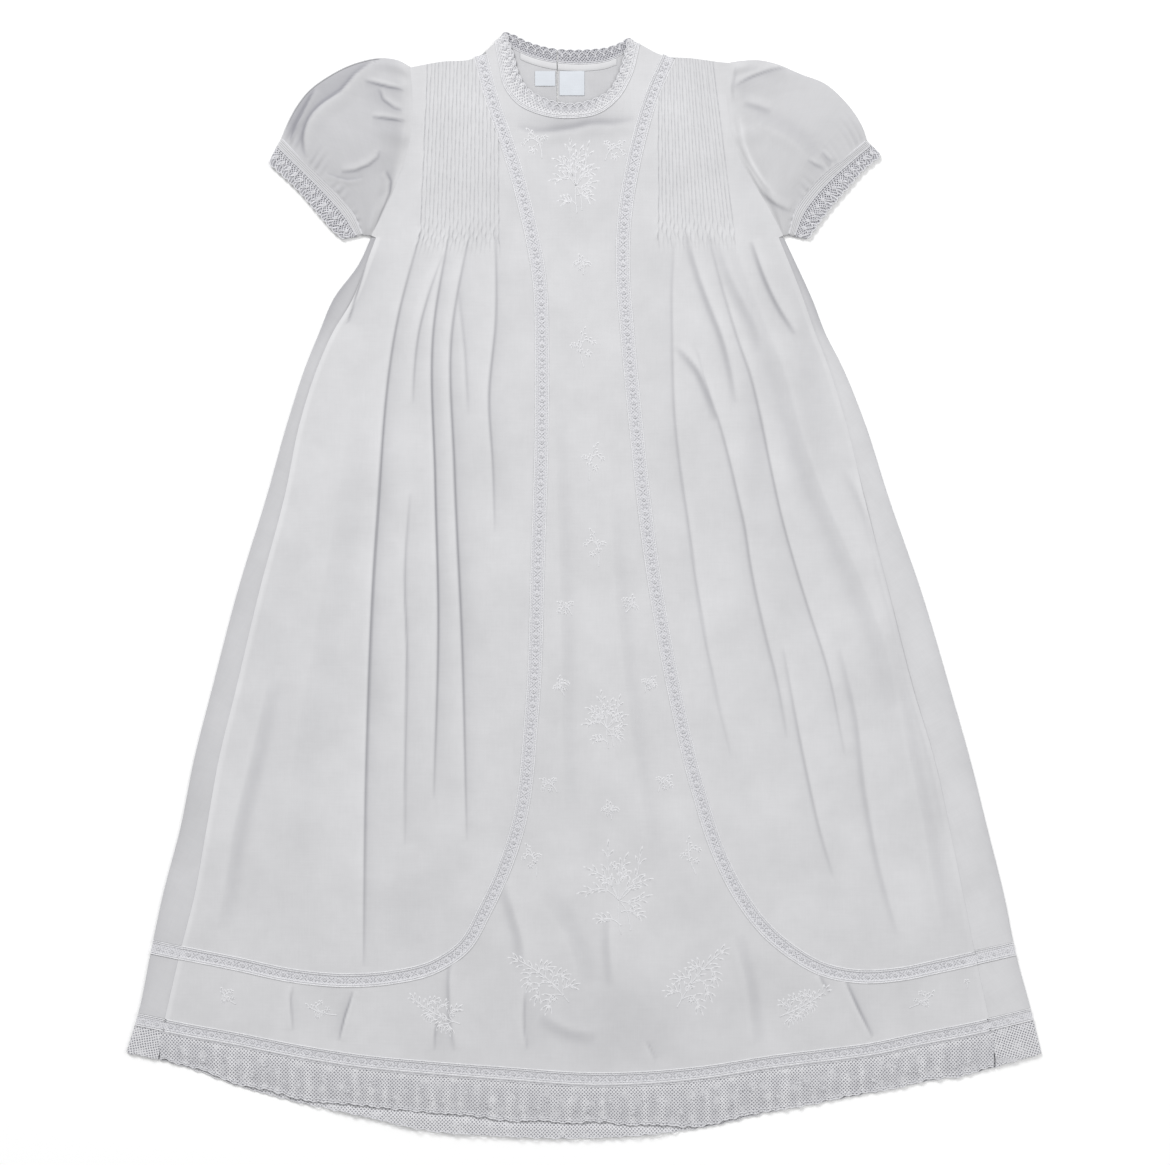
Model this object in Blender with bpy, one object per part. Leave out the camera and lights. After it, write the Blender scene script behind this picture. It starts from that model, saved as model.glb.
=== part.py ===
"""Christening gown of white cotton batiste and lace, laid flat with its front up.

Sizes are in millimetres and become metres where a mesh is made. X runs across the gown,
Y up it from hem to neck, and Z up from the surface that it lies on. Every piece is a wall
cut to an outline. The back layer lies on the surface and turns round at the side folds to
meet the front layer at the side seams.
"""
import math
from collections import namedtuple

import bmesh
import bpy
import numpy as np
from mathutils import Vector
from mathutils.geometry import delaunay_2d_cdt

MM = 0.001

# Cloth and seams
WALL = 1.0
GAP = 0.3
FRONT_INSIDE = WALL + GAP
FOLD_MIDDLE = (WALL + GAP) / 2
FOLD_REACH = FOLD_MIDDLE + WALL / 2
FOLD_LENGTH = math.pi * FOLD_MIDDLE
FOLD_STEPS = 6
TURN_STEPS = [FOLD_LENGTH * step / FOLD_STEPS for step in range(FOLD_STEPS + 1)]

# How finely the outlines and folds are cut: a line keeps the points that it needs to stay
# within a tolerance of its true curve
FINE_STEP = 3.0
OUTLINE_TOLERANCE = 0.12
FOLD_TOLERANCE = 0.5
TRIM_STEP = 1.5
SEAM_POINTS = 22
SEAM_CROWDING = 1.35
HEM_POINTS = 29
BACK_POINTS = 18
BACK_LAST_Y = -218.0
SEAM_LAST_Y = -368.0
WIDE_SLOPE = 6.0
JOINED = 0.002
CLEAR_OF_EDGE = 1.2
SHORTEST_RUN = 3
CORNER_CLEAR = 0.06
PARALLEL = 1e-9
OVERRUN = 6.0
LOW_SEAM_POINTS = 6
SETTLING_ROUNDS = 5
TURN_CLEAR = 3.0
FINE_POINTS = 400
SHARP_ANGLE = 35.0

# Lace, bands and labels
INSERTION_WIDTH = 9.0
HEM_INSERTION_WIDTH = 8.0
RAIL_WIDTH = 1.8
RAIL_HEIGHT = 0.35
RAIL_SLOPE = 0.4
CUFF_BAND_WIDTH = 5.0
CUFF_LACE_WIDTH = 10.6
SCALLOP_PITCH = 5.6
SCALLOP_DEPTH = 1.1
SCALLOP_POINTS = 3
SCALLOP_HOLLOW = -0.4
SCALLOP_TOP = 0.6
BINDING_WIDTH = 4.2
BINDING_LEFT = -41.0
BINDING_RIGHT = 21.5
THIN = 0.6

# Centre-back slit
SLIT_X = -17.0
SLIT_END_Y = 213.0
SLIT_TOP_Y = 362.0
BINDING_LOW_Y = 320.0
SLIT_WIDTH = 0.8

# Pin tucks
TUCKS = 20
TUCK_HEIGHT = 0.8
TUCK_HALF_WIDTH = 0.95
TUCK_RELEASE = 26.0
TUCK_ROWS = 3
TUCK_SPREAD = 0.12
LOOSE_PART = 0.45
LOOSE_SPREAD = 0.4

# Skirt sections: heights up the gown with the side folds and the side seams
Skirt = namedtuple("Skirt", "y left_fold left_seam right_seam right_fold")
SKIRT = [
    Skirt(226.0, -138.0, -134.8, 126.8, 130.0),
    Skirt(209.5, -145.5, -141.0, 133.6, 137.8),
    Skirt(186.0, -162.5, -150.0, 142.8, 148.5),
    Skirt(163.5, -172.0, -163.4, 150.7, 157.2),
    Skirt(146.5, -179.0, -171.0, 157.5, 166.0),
    Skirt(107.0, -192.0, -184.0, 170.3, 182.2),
    Skirt(59.0, -205.5, -194.0, 182.0, 197.5),
    Skirt(-3.0, -224.5, -210.5, 198.0, 219.0),
    Skirt(-68.0, -241.5, -226.0, 214.5, 238.3),
    Skirt(-113.0, -253.0, -237.0, 228.0, 251.0),
    Skirt(-158.0, -262.0, -245.0, 238.0, 262.3),
    Skirt(-200.0, -273.0, -252.5, 246.5, 272.8),
    Skirt(-240.0, -281.5, -262.5, 254.5, 281.0),
    Skirt(-275.0, -288.5, -270.5, 262.0, 290.4),
    Skirt(-308.0, -298.5, -278.0, 269.5, 298.5),
]

# Hem sections: heights across the gown, for front and back
Hem = namedtuple("Hem", "x insertion_top front_lace_edge back_lace_edge")
HEM = [
    Hem(-299.0, -276.0, -302.5, -302.5),
    Hem(-257.0, -284.5, -311.7, -313.0),
    Hem(-226.5, -290.0, -322.6, -324.0),
    Hem(-186.0, -298.0, -332.4, -335.4),
    Hem(-145.0, -304.5, -338.0, -344.0),
    Hem(-105.0, -308.4, -341.0, -353.3),
    Hem(-54.0, -312.3, -346.6, -357.6),
    Hem(10.7, -316.2, -348.7, -358.4),
    Hem(79.6, -311.7, -350.0, -351.6),
    Hem(122.5, -305.0, -341.0, -341.6),
    Hem(155.0, -301.0, -335.0, -335.4),
    Hem(187.5, -296.7, -329.0, -329.2),
    Hem(219.4, -290.0, -322.5, -322.5),
    Hem(252.0, -283.7, -316.5, -316.5),
    Hem(299.0, -272.5, -303.5, -303.5),
]
BACK_RISE_LEFT = 45.2
BACK_RISE_RIGHT = 41.2

# Lines of the front, each from its upper or left end
Spot = namedtuple("Spot", "x y")
LEFT_INSERTION = [
    Spot(-67.5, 347.0), Spot(-59.5, 316.0), Spot(-48.4, 283.7), Spot(-37.7, 245.5),
    Spot(-28.3, 196.0), Spot(-27.0, 157.6), Spot(-27.0, 108.0), Spot(-29.6, 17.0),
    Spot(-33.5, -82.0), Spot(-44.0, -162.0), Spot(-64.0, -211.0), Spot(-78.3, -235.0),
    Spot(-96.5, -247.3), Spot(-125.0, -254.5), Spot(-149.0, -256.4), Spot(-186.0, -253.8),
    Spot(-226.5, -245.4), Spot(-279.0, -235.0),
]
RIGHT_INSERTION = [
    Spot(56.0, 344.0), Spot(45.2, 320.0), Spot(32.8, 276.0), Spot(26.3, 234.0),
    Spot(25.6, 205.0), Spot(28.3, 167.0), Spot(34.0, 105.0), Spot(44.5, 14.0),
    Spot(57.5, -60.8), Spot(76.4, -139.4), Spot(88.0, -174.0), Spot(101.0, -200.0),
    Spot(118.0, -223.0), Spot(135.5, -238.0), Spot(155.0, -249.0), Spot(178.4, -253.8),
    Spot(204.4, -252.5), Spot(230.4, -247.3), Spot(280.0, -236.0),
]
LEFT_SHOULDER = [
    Spot(-112.0, 336.5), Spot(-93.3, 340.0), Spot(-69.2, 343.0), Spot(-56.6, 353.4),
]
RIGHT_SHOULDER = [
    Spot(36.6, 351.6), Spot(51.0, 344.4), Spot(71.8, 342.2), Spot(86.0, 340.2), Spot(95.6, 339.2),
]
LEFT_ARMHOLE = [
    Spot(-112.4, 337.0), Spot(-110.8, 320.0), Spot(-111.0, 302.6), Spot(-114.0, 283.0),
    Spot(-122.0, 260.0), Spot(-130.0, 242.0), Spot(-137.6, 226.9),
]
RIGHT_ARMHOLE = [
    Spot(95.6, 340.0), Spot(92.4, 324.0), Spot(94.0, 306.5), Spot(99.8, 280.5),
    Spot(109.0, 263.0), Spot(118.5, 247.5), Spot(129.5, 226.9),
]
FRONT_NECK = [
    Spot(-57.4, 353.6), Spot(-54.6, 338.0), Spot(-51.5, 324.0), Spot(-42.5, 312.6),
    Spot(-27.6, 305.8), Spot(-5.5, 303.8), Spot(9.0, 306.4), Spot(22.3, 316.5),
    Spot(30.5, 330.0), Spot(36.4, 352.0),
]
FRONT_NECK_LACE_EDGE = [
    Spot(-50.6, 358.8), Spot(-46.0, 345.0), Spot(-42.6, 332.5), Spot(-36.0, 322.0),
    Spot(-25.7, 316.0), Spot(-5.0, 312.6), Spot(7.5, 315.6), Spot(17.2, 321.4),
    Spot(22.8, 331.0), Spot(29.4, 354.8),
]
BACK_NECK = [
    Spot(-55.6, 354.4), Spot(-47.5, 350.0), Spot(-37.4, 344.8), Spot(-25.0, 341.0),
    Spot(-10.0, 339.0), Spot(4.0, 339.0), Spot(16.5, 341.0), Spot(27.0, 346.4),
    Spot(34.6, 352.4),
]
BACK_NECK_LACE_EDGE = [
    Spot(-52.0, 359.4), Spot(-46.0, 357.6), Spot(-37.4, 353.3), Spot(-25.0, 349.4),
    Spot(-10.0, 347.6), Spot(4.0, 347.8), Spot(16.5, 349.4), Spot(24.0, 352.2),
    Spot(30.2, 355.9),
]

# Sleeves: the lines that bound each one, from the shoulder side to the underarm side
LEFT_SLEEVE_TOP = [
    Spot(-113.0, 336.9), Spot(-120.0, 341.0), Spot(-130.0, 343.0), Spot(-147.0, 340.3),
    Spot(-166.7, 331.0), Spot(-179.7, 321.0), Spot(-187.5, 310.4), Spot(-193.4, 298.5),
    Spot(-196.4, 290.6),
]
LEFT_CUFF = [
    Spot(-196.4, 290.6), Spot(-180.8, 274.6), Spot(-168.3, 262.6), Spot(-156.7, 250.8),
    Spot(-148.6, 240.0), Spot(-143.6, 227.4),
]
LEFT_CUFF_EDGE = [
    Spot(-204.6, 275.8), Spot(-183.4, 255.8), Spot(-170.0, 240.2), Spot(-160.4, 229.6),
    Spot(-154.4, 224.6),
]
RIGHT_SLEEVE_TOP = [
    Spot(96.3, 339.9), Spot(104.0, 341.0), Spot(115.4, 341.3), Spot(125.8, 339.0),
    Spot(141.4, 332.5), Spot(157.6, 326.0), Spot(169.3, 315.6), Spot(176.5, 306.5),
    Spot(181.4, 297.6), Spot(184.0, 289.2),
]
RIGHT_CUFF = [
    Spot(184.0, 289.2), Spot(168.6, 276.9), Spot(156.8, 267.6), Spot(146.0, 256.2),
    Spot(137.6, 244.0), Spot(133.2, 227.4),
]
RIGHT_CUFF_EDGE = [
    Spot(193.2, 280.3), Spot(182.0, 271.0), Spot(171.3, 258.8), Spot(161.4, 247.6),
    Spot(151.4, 234.5), Spot(144.4, 224.6),
]
SLEEVE_ROWS = 12
SLEEVE_COLUMNS = 25
BAND_ROWS = 5
BAND_COLUMNS = 9
RIDGE_HEIGHT = 0.4

# Puff of a sleeve, in parts of its length from armhole to cuff
PUFF_HEIGHT = 3.2
PUFF_ROUNDNESS = 0.7
PUFF_FULL = 0.28
PUFF_FALLS = 0.62
PUFF_LOSS = 0.8
CAP_GATHERS = 7
CAP_CROWDING = 0.8
CAP_REACH = 0.45
CUFF_GATHERS = 8
CUFF_REACH = 0.3
CUFF_START = 0.6
GATHER_HEIGHT = 1.5
SEAM_FADE = 0.08

# Blocks of pin tucks: where the first and last end, and how far each leans to its top
Tucks = namedtuple("Tucks", "first last first_lean last_lean top release")
LEFT_TUCKS = Tucks(-106.3, -55.6, 5.1, 0.0, 345.0, 228.0)
RIGHT_TUCKS = Tucks(48.4, 97.2, 0.0, -14.3, 345.0, 230.0)

# Soft pleats and creases: five places down each fold, its height, and how far it falls
# away towards its left and its right
Fold = namedtuple("Fold", "spots height left right")
FOLD_FULLNESS = 0.6
LEFT_FOLDS = [
    Fold([(-106.3, 224), (-121.2, 176), (-135.5, 37), (-142.0, -110), (-144.0, -240)], 1.7, 2.0, 13),
    Fold([(-88.7, 222), (-98.5, 167), (-97.5, 67), (-95.5, -20), (-98.5, -139)], 1.6, 2.0, 8),
    Fold([(-74.4, 222), (-86.8, 163), (-85.0, 75), (-80.0, -40), (-77.0, -166)], 1.5, 2.0, 12),
    Fold([(-59.5, 220), (-58.2, 171), (-62.7, 121), (-60.0, 78), (-58.8, 35)], 0.9, 2.4, 10),
    Fold([(-114.0, 60), (-117.3, 8), (-116.0, -43), (-117.0, -105), (-117.3, -169)], 0.9, 3.0, 9),
    Fold([(-150.0, 120), (-163.0, 40), (-176.0, -40), (-188.0, -110), (-196.0, -180)], 0.8, 14, 16),
    Fold([(-205.0, -60), (-216.0, -110), (-226.0, -150), (-233.0, -190), (-238.0, -222)], 0.8, 9, 10),
]
RIGHT_FOLDS = [
    Fold([(54.0, 222), (58.0, 178), (59.5, 134), (62.0, 100), (64.7, 60)], 0.9, 8, 2.4),
    Fold([(70.0, 222), (77.0, 143), (97.8, 63), (116.0, -50), (134.2, -133)], 1.5, 9, 2.2),
    Fold([(98.0, 216), (107.0, 134), (129.7, 45), (150.5, -30), (171.3, -123)], 1.5, 11, 2.2),
    Fold([(124.0, 170), (139.4, 105), (157.0, 47), (172.0, 8), (185.0, -22)], 1.0, 9, 3.0),
    Fold([(168.0, -40), (177.8, -82), (185.0, -138), (194.0, -185), (206.0, -228)], 1.0, 10, 3.0),
    Fold([(73.8, 56), (74.0, 10), (77.7, -26), (90.0, -75), (98.5, -113)], 0.9, 8, 3.0),
    Fold([(125.8, 18), (132.0, -30), (141.4, -77), (150.0, -125), (160.0, -180)], 0.9, 8, 3.0),
    Fold([(203.0, -60), (211.0, -110), (219.0, -150), (226.0, -190), (233.0, -225)], 0.9, 8, 9),
]
CENTRE_FOLDS = [
    Fold([(-26.0, 295), (-12.0, 297), (6.0, 301), (18.0, 300.5), (30.0, 299)], 0.9, 8, 2.4),
    Fold([(-20.0, 120), (-17.0, 40), (-15.0, -40), (-14.0, -100), (-12.0, -160)], 0.6, 8, 9),
    Fold([(16.0, 60), (20.0, 0), (26.0, -60), (34.0, -120), (44.0, -180)], 0.6, 8, 8),
    Fold([(-36.0, -196), (-44.0, -214), (-50.0, -236), (-53.0, -262), (-52.0, -300)], 1.0, 7, 5),
    Fold([(-148.5, -263.5), (-151.0, -272), (-154.0, -281), (-156.0, -289), (-157.5, -296)], 1.1, 4, 3),
    Fold([(-190.0, -260), (-191.5, -268), (-191.0, -275), (-190.5, -282), (-190.0, -289)], 0.8, 3, 6),
    Fold([(170.0, -262), (174.0, -270), (179.0, -279), (183.0, -286), (187.0, -292)], 1.1, 3, 5),
    Fold([(96.0, -228), (102.0, -246), (106.0, -264), (108.0, -282), (110.0, -298)], 0.8, 7, 7),
]
LEFT_SLEEVE_FOLDS = [
    Fold([(-125.0, 340), (-148.0, 319), (-163.0, 303), (-172.0, 286), (-175.0, 272)], 2.0, 14, 5),
    Fold([(-163.0, 326), (-172.0, 315), (-180.0, 303), (-184.0, 294), (-186.0, 285)], 1.4, 6, 5),
    Fold([(-113.0, 272), (-122.0, 266), (-133.0, 261), (-146.0, 258), (-158.0, 257)], 1.5, 7, 6),
]
RIGHT_SLEEVE_FOLDS = [
    Fold([(97.0, 322), (108.0, 328), (122.0, 332), (134.0, 333), (146.0, 330)], 1.6, 6, 6),
    Fold([(101.0, 285), (108.0, 268), (118.0, 258), (128.0, 250), (139.0, 243)], 1.8, 7, 6),
    Fold([(108.0, 315), (118.0, 312), (130.0, 308), (142.0, 302), (152.0, 290)], 1.2, 8, 8),
]

# Gather waves of the hem lace
FRONT_LACE_WAVES = 56
BACK_LACE_WAVES = 32
WAVE_HEIGHT = 1.3
WAVE_DRIFT = 1.9
WAVE_SWELL = 0.37
WAVE_UNEVENNESS = 0.35
WAVE_LOW = 0.75
WAVE_CHANGE = 0.7
LACE_BREAKS = (0.25, 0.65)
LACE_RELEASE = 1.5
LACE_LEFT = -284.0
LACE_RIGHT = 276.0
PEEK_LEFT = -196.0
PEEK_RIGHT = 72.0
PEEK_SLOPE = 2.5
PEEK_CLEAR = 8.0

# Labels inside the back neck
Label = namedtuple("Label", "name left right bottom top")
LABELS = [
    Label("label_left", -31.5, -18.4, 324.6, 334.2),
    Label("label_right", -15.6, 0.6, 318.4, 334.2),
]

# Finishes: colour, roughness
Finish = namedtuple("Finish", "colour roughness")
BATISTE = Finish((0.70, 0.70, 0.72), 0.85)
LACE = Finish((0.58, 0.58, 0.59), 0.90)
BAND = Finish((0.66, 0.66, 0.67), 0.80)
SATIN = Finish((0.78, 0.79, 0.84), 0.45)


def clear_scene():
    for thing in list(bpy.data.objects):
        bpy.data.objects.remove(thing, do_unlink=True)


def eased(amount):
    """An S curve from 0 to 1, level at both ends."""
    amount = np.clip(amount, 0.0, 1.0)
    return amount * amount * (3 - 2 * amount)


def smooth(spots, tolerance=0.0):
    """A smooth line through the spots: one cubic a stretch, with slopes from its neighbours."""
    spots = np.array(spots, float)
    lengths = np.linalg.norm(np.diff(spots, axis=0), axis=1)
    slopes = np.gradient(spots, np.concatenate([[0.0], np.cumsum(lengths)]), axis=0)
    line = [spots[:1]]
    for k, length in enumerate(lengths):
        count = max(1, round(length / FINE_STEP))
        t = (np.arange(1, count + 1) / count)[:, None]
        line.append(
            (2 * t**3 - 3 * t**2 + 1) * spots[k]
            + (t**3 - 2 * t**2 + t) * length * slopes[k]
            + (3 * t**2 - 2 * t**3) * spots[k + 1]
            + (t**3 - t**2) * length * slopes[k + 1]
        )
    return thinned(np.concatenate(line), tolerance)


def thinned(line, tolerance):
    """The line without the points that it can lose and still stay within the tolerance."""
    if tolerance == 0 or len(line) < 3:
        return line
    away = distance_to(line[[0, -1]], line)[0]
    far = int(np.argmax(away))
    if away[far] <= tolerance:
        return line[[0, -1]]
    return np.concatenate([thinned(line[:far + 1], tolerance)[:-1], thinned(line[far:], tolerance)])


def column(table, key, value):
    """A smooth function that gives one column of a table at any place along another."""
    spots = smooth([(getattr(row, key), getattr(row, value)) for row in table])
    spots = spots[np.argsort(spots[:, 0])]
    return lambda place: np.interp(place, spots[:, 0], spots[:, 1])


def resampled(line, count):
    """The same line with count points at even distances."""
    lengths = np.linalg.norm(np.diff(line, axis=0), axis=1)
    places = np.concatenate([[0.0], np.cumsum(lengths)])
    wanted = np.linspace(0.0, places[-1], count)
    return np.stack([np.interp(wanted, places, line[:, k]) for k in range(2)], axis=1)


def extended(line, reach):
    """The line with both ends carried straight on."""
    first = line[0] - line[1]
    last = line[-1] - line[-2]
    first = line[0] + first / np.linalg.norm(first) * reach
    last = line[-1] + last / np.linalg.norm(last) * reach
    return np.concatenate([[first], line, [last]])


def beside(line, distance):
    """The line moved sideways, to the left of its direction where distance is positive."""
    steps = np.diff(line, axis=0)
    steps = steps / np.linalg.norm(steps, axis=1)[:, None]
    ahead = np.concatenate([steps[:1], steps])
    behind = np.concatenate([steps, steps[-1:]])
    along = ahead + behind
    along = along / np.linalg.norm(along, axis=1)[:, None]
    across = np.stack([-along[:, 1], along[:, 0]], axis=1)
    spread = 1.0 / np.maximum(0.5, np.sum(along * ahead, axis=1))
    return line + across * (distance * spread)[:, None]


def crossing(first, second):
    """Places along both lines where they cross, and the point, nearest the first line's end."""
    found = None
    for i in range(len(first) - 1):
        start = first[i]
        run = first[i + 1] - start
        for j in range(len(second) - 1):
            other = second[j + 1] - second[j]
            turn = run[0] * other[1] - run[1] * other[0]
            if abs(turn) < PARALLEL:
                continue
            away = second[j] - start
            along = (away[0] * other[1] - away[1] * other[0]) / turn
            across = (away[0] * run[1] - away[1] * run[0]) / turn
            if 0 <= along <= 1 and 0 <= across <= 1:
                found = (i + along, j + across, start + along * run)
    if found is None:
        raise ValueError(f"lines from {first[0]} to {first[-1]} and {second[0]} to {second[-1]} miss")
    return found


def outline_of(*lines):
    """The closed outline along each line in turn, from its crossing with the line before."""
    corners = [crossing(line, lines[(k + 1) % len(lines)]) for k, line in enumerate(lines)]
    outline = []
    for k, line in enumerate(lines):
        start = corners[k - 1][1]
        stop = corners[k][0]
        outline.append(corners[k - 1][2])
        kept = [i for i in range(len(line)) if start + CORNER_CLEAR < i < stop - CORNER_CLEAR]
        outline += [line[i] for i in kept]
    return np.array(outline)


def distance_to(line, points):
    """For each point, how far it is from a line, its place along the line, and its side."""
    starts = line[:-1]
    runs = line[1:] - starts
    away = points[:, None, :] - starts[None]
    part = np.sum(away * runs, axis=2) / np.sum(runs * runs, axis=1)
    part = np.clip(part, 0.0, 1.0)
    gaps = away - part[:, :, None] * runs
    reach = np.linalg.norm(gaps, axis=2)
    nearest = np.argmin(reach, axis=1)
    rows = np.arange(len(points))
    side = runs[nearest, 0] * gaps[rows, nearest, 1] - runs[nearest, 1] * gaps[rows, nearest, 0]
    return reach[rows, nearest], nearest + part[rows, nearest], np.sign(side)


def inside(outline, points, clear):
    """Which points lie within an outline and clear of its edge."""
    following = np.roll(outline, -1, axis=0)
    x = points[:, 0][:, None]
    y = points[:, 1][:, None]
    rising = (outline[:, 1] > y) != (following[:, 1] > y)
    height = np.where(following[:, 1] == outline[:, 1], 1.0, following[:, 1] - outline[:, 1])
    meets = outline[:, 0] + (y - outline[:, 1]) * (following[:, 0] - outline[:, 0]) / height
    within = np.sum(rising & (x < meets), axis=1) % 2 == 1
    loop = np.concatenate([outline, outline[:1]])
    return within & (distance_to(loop, points)[0] > clear)


def kept_runs(outline, line):
    """The stretches of a line that lie clear inside an outline, each trimmed to its edge."""
    fine = []
    corner = []
    for start, end in zip(line[:-1], line[1:]):
        count = max(1, int(np.linalg.norm(end - start) / TRIM_STEP))
        fine += [start + (end - start) * k / count for k in range(count)]
        corner += [True] + [False] * (count - 1)
    fine = np.array(fine + [line[-1]])
    corner = np.array(corner + [True])
    good = inside(outline, fine, CLEAR_OF_EDGE)
    runs = []
    changes = np.flatnonzero(np.diff(np.concatenate([[False], good, [False]]).astype(int)))
    for first, after in zip(changes[::2], changes[1::2]):
        if after - first < SHORTEST_RUN:
            continue
        keep = corner[first:after].copy()
        keep[[0, -1]] = True
        runs.append(fine[first:after][keep])
    return runs


def triangulated(outline, lines):
    """Triangles that fill an outline and keep each line as edges, and the outline's points."""
    points = [tuple(point) for point in outline]
    count = len(points)
    edges = [(k, (k + 1) % count) for k in range(count)]
    for line in lines:
        base = len(points)
        points += [tuple(point) for point in line]
        edges += [(base + k, base + k + 1) for k in range(len(line) - 1)]
    result = delaunay_2d_cdt([Vector(point) for point in points], edges, [], 1, JOINED)
    home = {source: spot for spot, sources in enumerate(result[3]) for source in sources}
    flat = np.array([tuple(point) for point in result[0]])
    return flat, [tuple(face) for face in result[2]], [home[k] for k in range(count)]


def material_for(name, finish):
    material = bpy.data.materials.new(name)
    material.use_nodes = True
    shader = material.node_tree.nodes["Principled BSDF"]
    shader.inputs["Base Color"].default_value = (*finish.colour, 1.0)
    shader.inputs["Roughness"].default_value = finish.roughness
    shader.inputs["Metallic"].default_value = 0.0
    return material


def add_piece(name, points, faces, finish):
    """One closed piece from points in millimetres and faces that meet edge to edge."""
    mesh = bpy.data.meshes.new(name)
    mesh.from_pydata((np.array(points) * MM).tolist(), [], faces)
    work = bmesh.new()
    work.from_mesh(mesh)
    bmesh.ops.triangulate(work, faces=work.faces)
    bmesh.ops.recalc_face_normals(work, faces=work.faces)
    work.to_mesh(mesh)
    work.free()
    mesh.shade_smooth()
    mesh.set_sharp_from_angle(angle=math.radians(SHARP_ANGLE))
    mesh.materials.append(material_for(name, finish))
    piece = bpy.data.objects.new(name, mesh)
    gown.objects.link(piece)
    return piece


def add_wall(name, finish, outline, place, both=(), outside=(), inside_only=()):
    """A cloth wall: place turns flat points to points of its outside or its inside."""
    def filled(lines):
        kept = list(both)
        for line in lines:
            kept += kept_runs(outline, line)
        return triangulated(outline, kept)

    outer, outer_faces, outer_edge = filled(outside)
    inner, inner_faces, inner_edge = filled(inside_only)
    points = np.concatenate([place(outer, True), place(inner, False)])
    shift = len(outer)
    faces = list(outer_faces)
    faces += [tuple(shift + k for k in reversed(face)) for face in inner_faces]
    for k in range(len(outline)):
        after = (k + 1) % len(outline)
        near = shift + inner_edge[k]
        far = shift + inner_edge[after]
        faces.append((near, far, outer_edge[after], outer_edge[k]))
    return add_piece(name, points, faces, finish)


def add_tube(name, finish, flat, rise=None, relief=None, under_columns=None):
    """A flattened tube from a grid of flat points, rows along it and columns across it.

    Round each row the wall goes along the surface, turns up at the far fold, comes back on
    top, raised by rise, and turns down at the near fold. The relief lifts only the outside
    of the top.
    """
    rows, columns = flat.shape[:2]
    under = under_columns or columns
    lower = np.unique(np.round(np.linspace(0, columns - 1, under)).astype(int))
    rise = np.zeros((rows, columns)) if rise is None else rise
    relief = np.zeros((rows, columns)) if relief is None else relief
    near_out = flat[:, 0] - flat[:, 1]
    far_out = flat[:, -1] - flat[:, -2]
    near_out = near_out / np.linalg.norm(near_out, axis=1)[:, None]
    far_out = far_out / np.linalg.norm(far_out, axis=1)[:, None]
    bends = np.arange(1, FOLD_STEPS) / FOLD_STEPS * math.pi

    middle = np.dstack([flat, FRONT_INSIDE + WALL / 2 + rise])
    along = np.gradient(middle, axis=0)
    across = np.gradient(middle, axis=1)
    normal = np.cross(along, across)
    normal = normal / np.linalg.norm(normal, axis=2)[:, :, None]
    normal = normal * np.sign(normal[:, :, 2:])
    normal[:, [0, -1]] = (0.0, 0.0, 1.0)

    def shell(outside):
        radius = FOLD_MIDDLE + (WALL / 2 if outside else -WALL / 2)
        push = WALL / 2 if outside else -WALL / 2
        bottom = np.full((rows, len(lower)), FOLD_REACH - radius)
        parts = [np.dstack([flat[:, lower], bottom])]
        for bend in bends:
            turned = flat[:, -1] + far_out * radius * math.sin(bend)
            height = np.full(rows, FOLD_REACH - radius * math.cos(bend))
            parts.append(np.column_stack([turned, height])[:, None])
        upper = middle + normal * push
        if outside:
            upper[:, :, 2] += relief
        parts.append(upper[:, ::-1])
        for bend in bends:
            turned = flat[:, 0] + near_out * radius * math.sin(bend)
            height = np.full(rows, FOLD_REACH + radius * math.cos(bend))
            parts.append(np.column_stack([turned, height])[:, None])
        return np.concatenate(parts, axis=1)

    outer = shell(True)
    inner = shell(False)
    around = outer.shape[1]
    shift = rows * around
    points = np.concatenate([outer.reshape(-1, 3), inner.reshape(-1, 3)])
    faces = []
    for k in range(around):
        after = (k + 1) % around
        for row in range(rows - 1):
            here = row * around
            ahead = here + around
            faces.append((here + k, here + after, ahead + after, ahead + k))
            faces.append((shift + here + after, shift + here + k,
                          shift + ahead + k, shift + ahead + after))
        last = (rows - 1) * around
        faces.append((after, k, shift + k, shift + after))
        faces.append((last + k, last + after, shift + last + after, shift + last + k))
    return add_piece(name, points, faces, finish)


def fold_relief(folds):
    """Height over the cloth: each fold rises to its crest line and fades at both its ends."""
    crests = [(smooth(fold.spots, FOLD_TOLERANCE), fold) for fold in folds]

    def relief(points):
        height = np.zeros(len(points))
        for crest, fold in crests:
            reach, place, side = distance_to(crest, points)
            lengths = np.linalg.norm(np.diff(crest, axis=0), axis=1)
            ends = np.concatenate([[0.0], np.cumsum(lengths)]) / lengths.sum()
            part = np.interp(place, np.arange(len(ends)), ends)
            along = np.sin(math.pi * part) ** FOLD_FULLNESS
            width = np.where(side > 0, fold.left, fold.right)
            height = np.maximum(height, fold.height * along * (1 - eased(reach / width)))
        return height

    return relief


def fold_lines(folds):
    """The crest of each fold, its two feet, and a line halfway down each wide slope."""
    lines = []
    for fold in folds:
        crest = smooth(fold.spots, FOLD_TOLERANCE)
        lines.append(crest)
        for side, width in ((1, fold.left), (-1, fold.right)):
            lines.append(beside(crest, side * width))
            if width > WIDE_SLOPE:
                lines.append(beside(crest, side * width / 2))
    return lines


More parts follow.
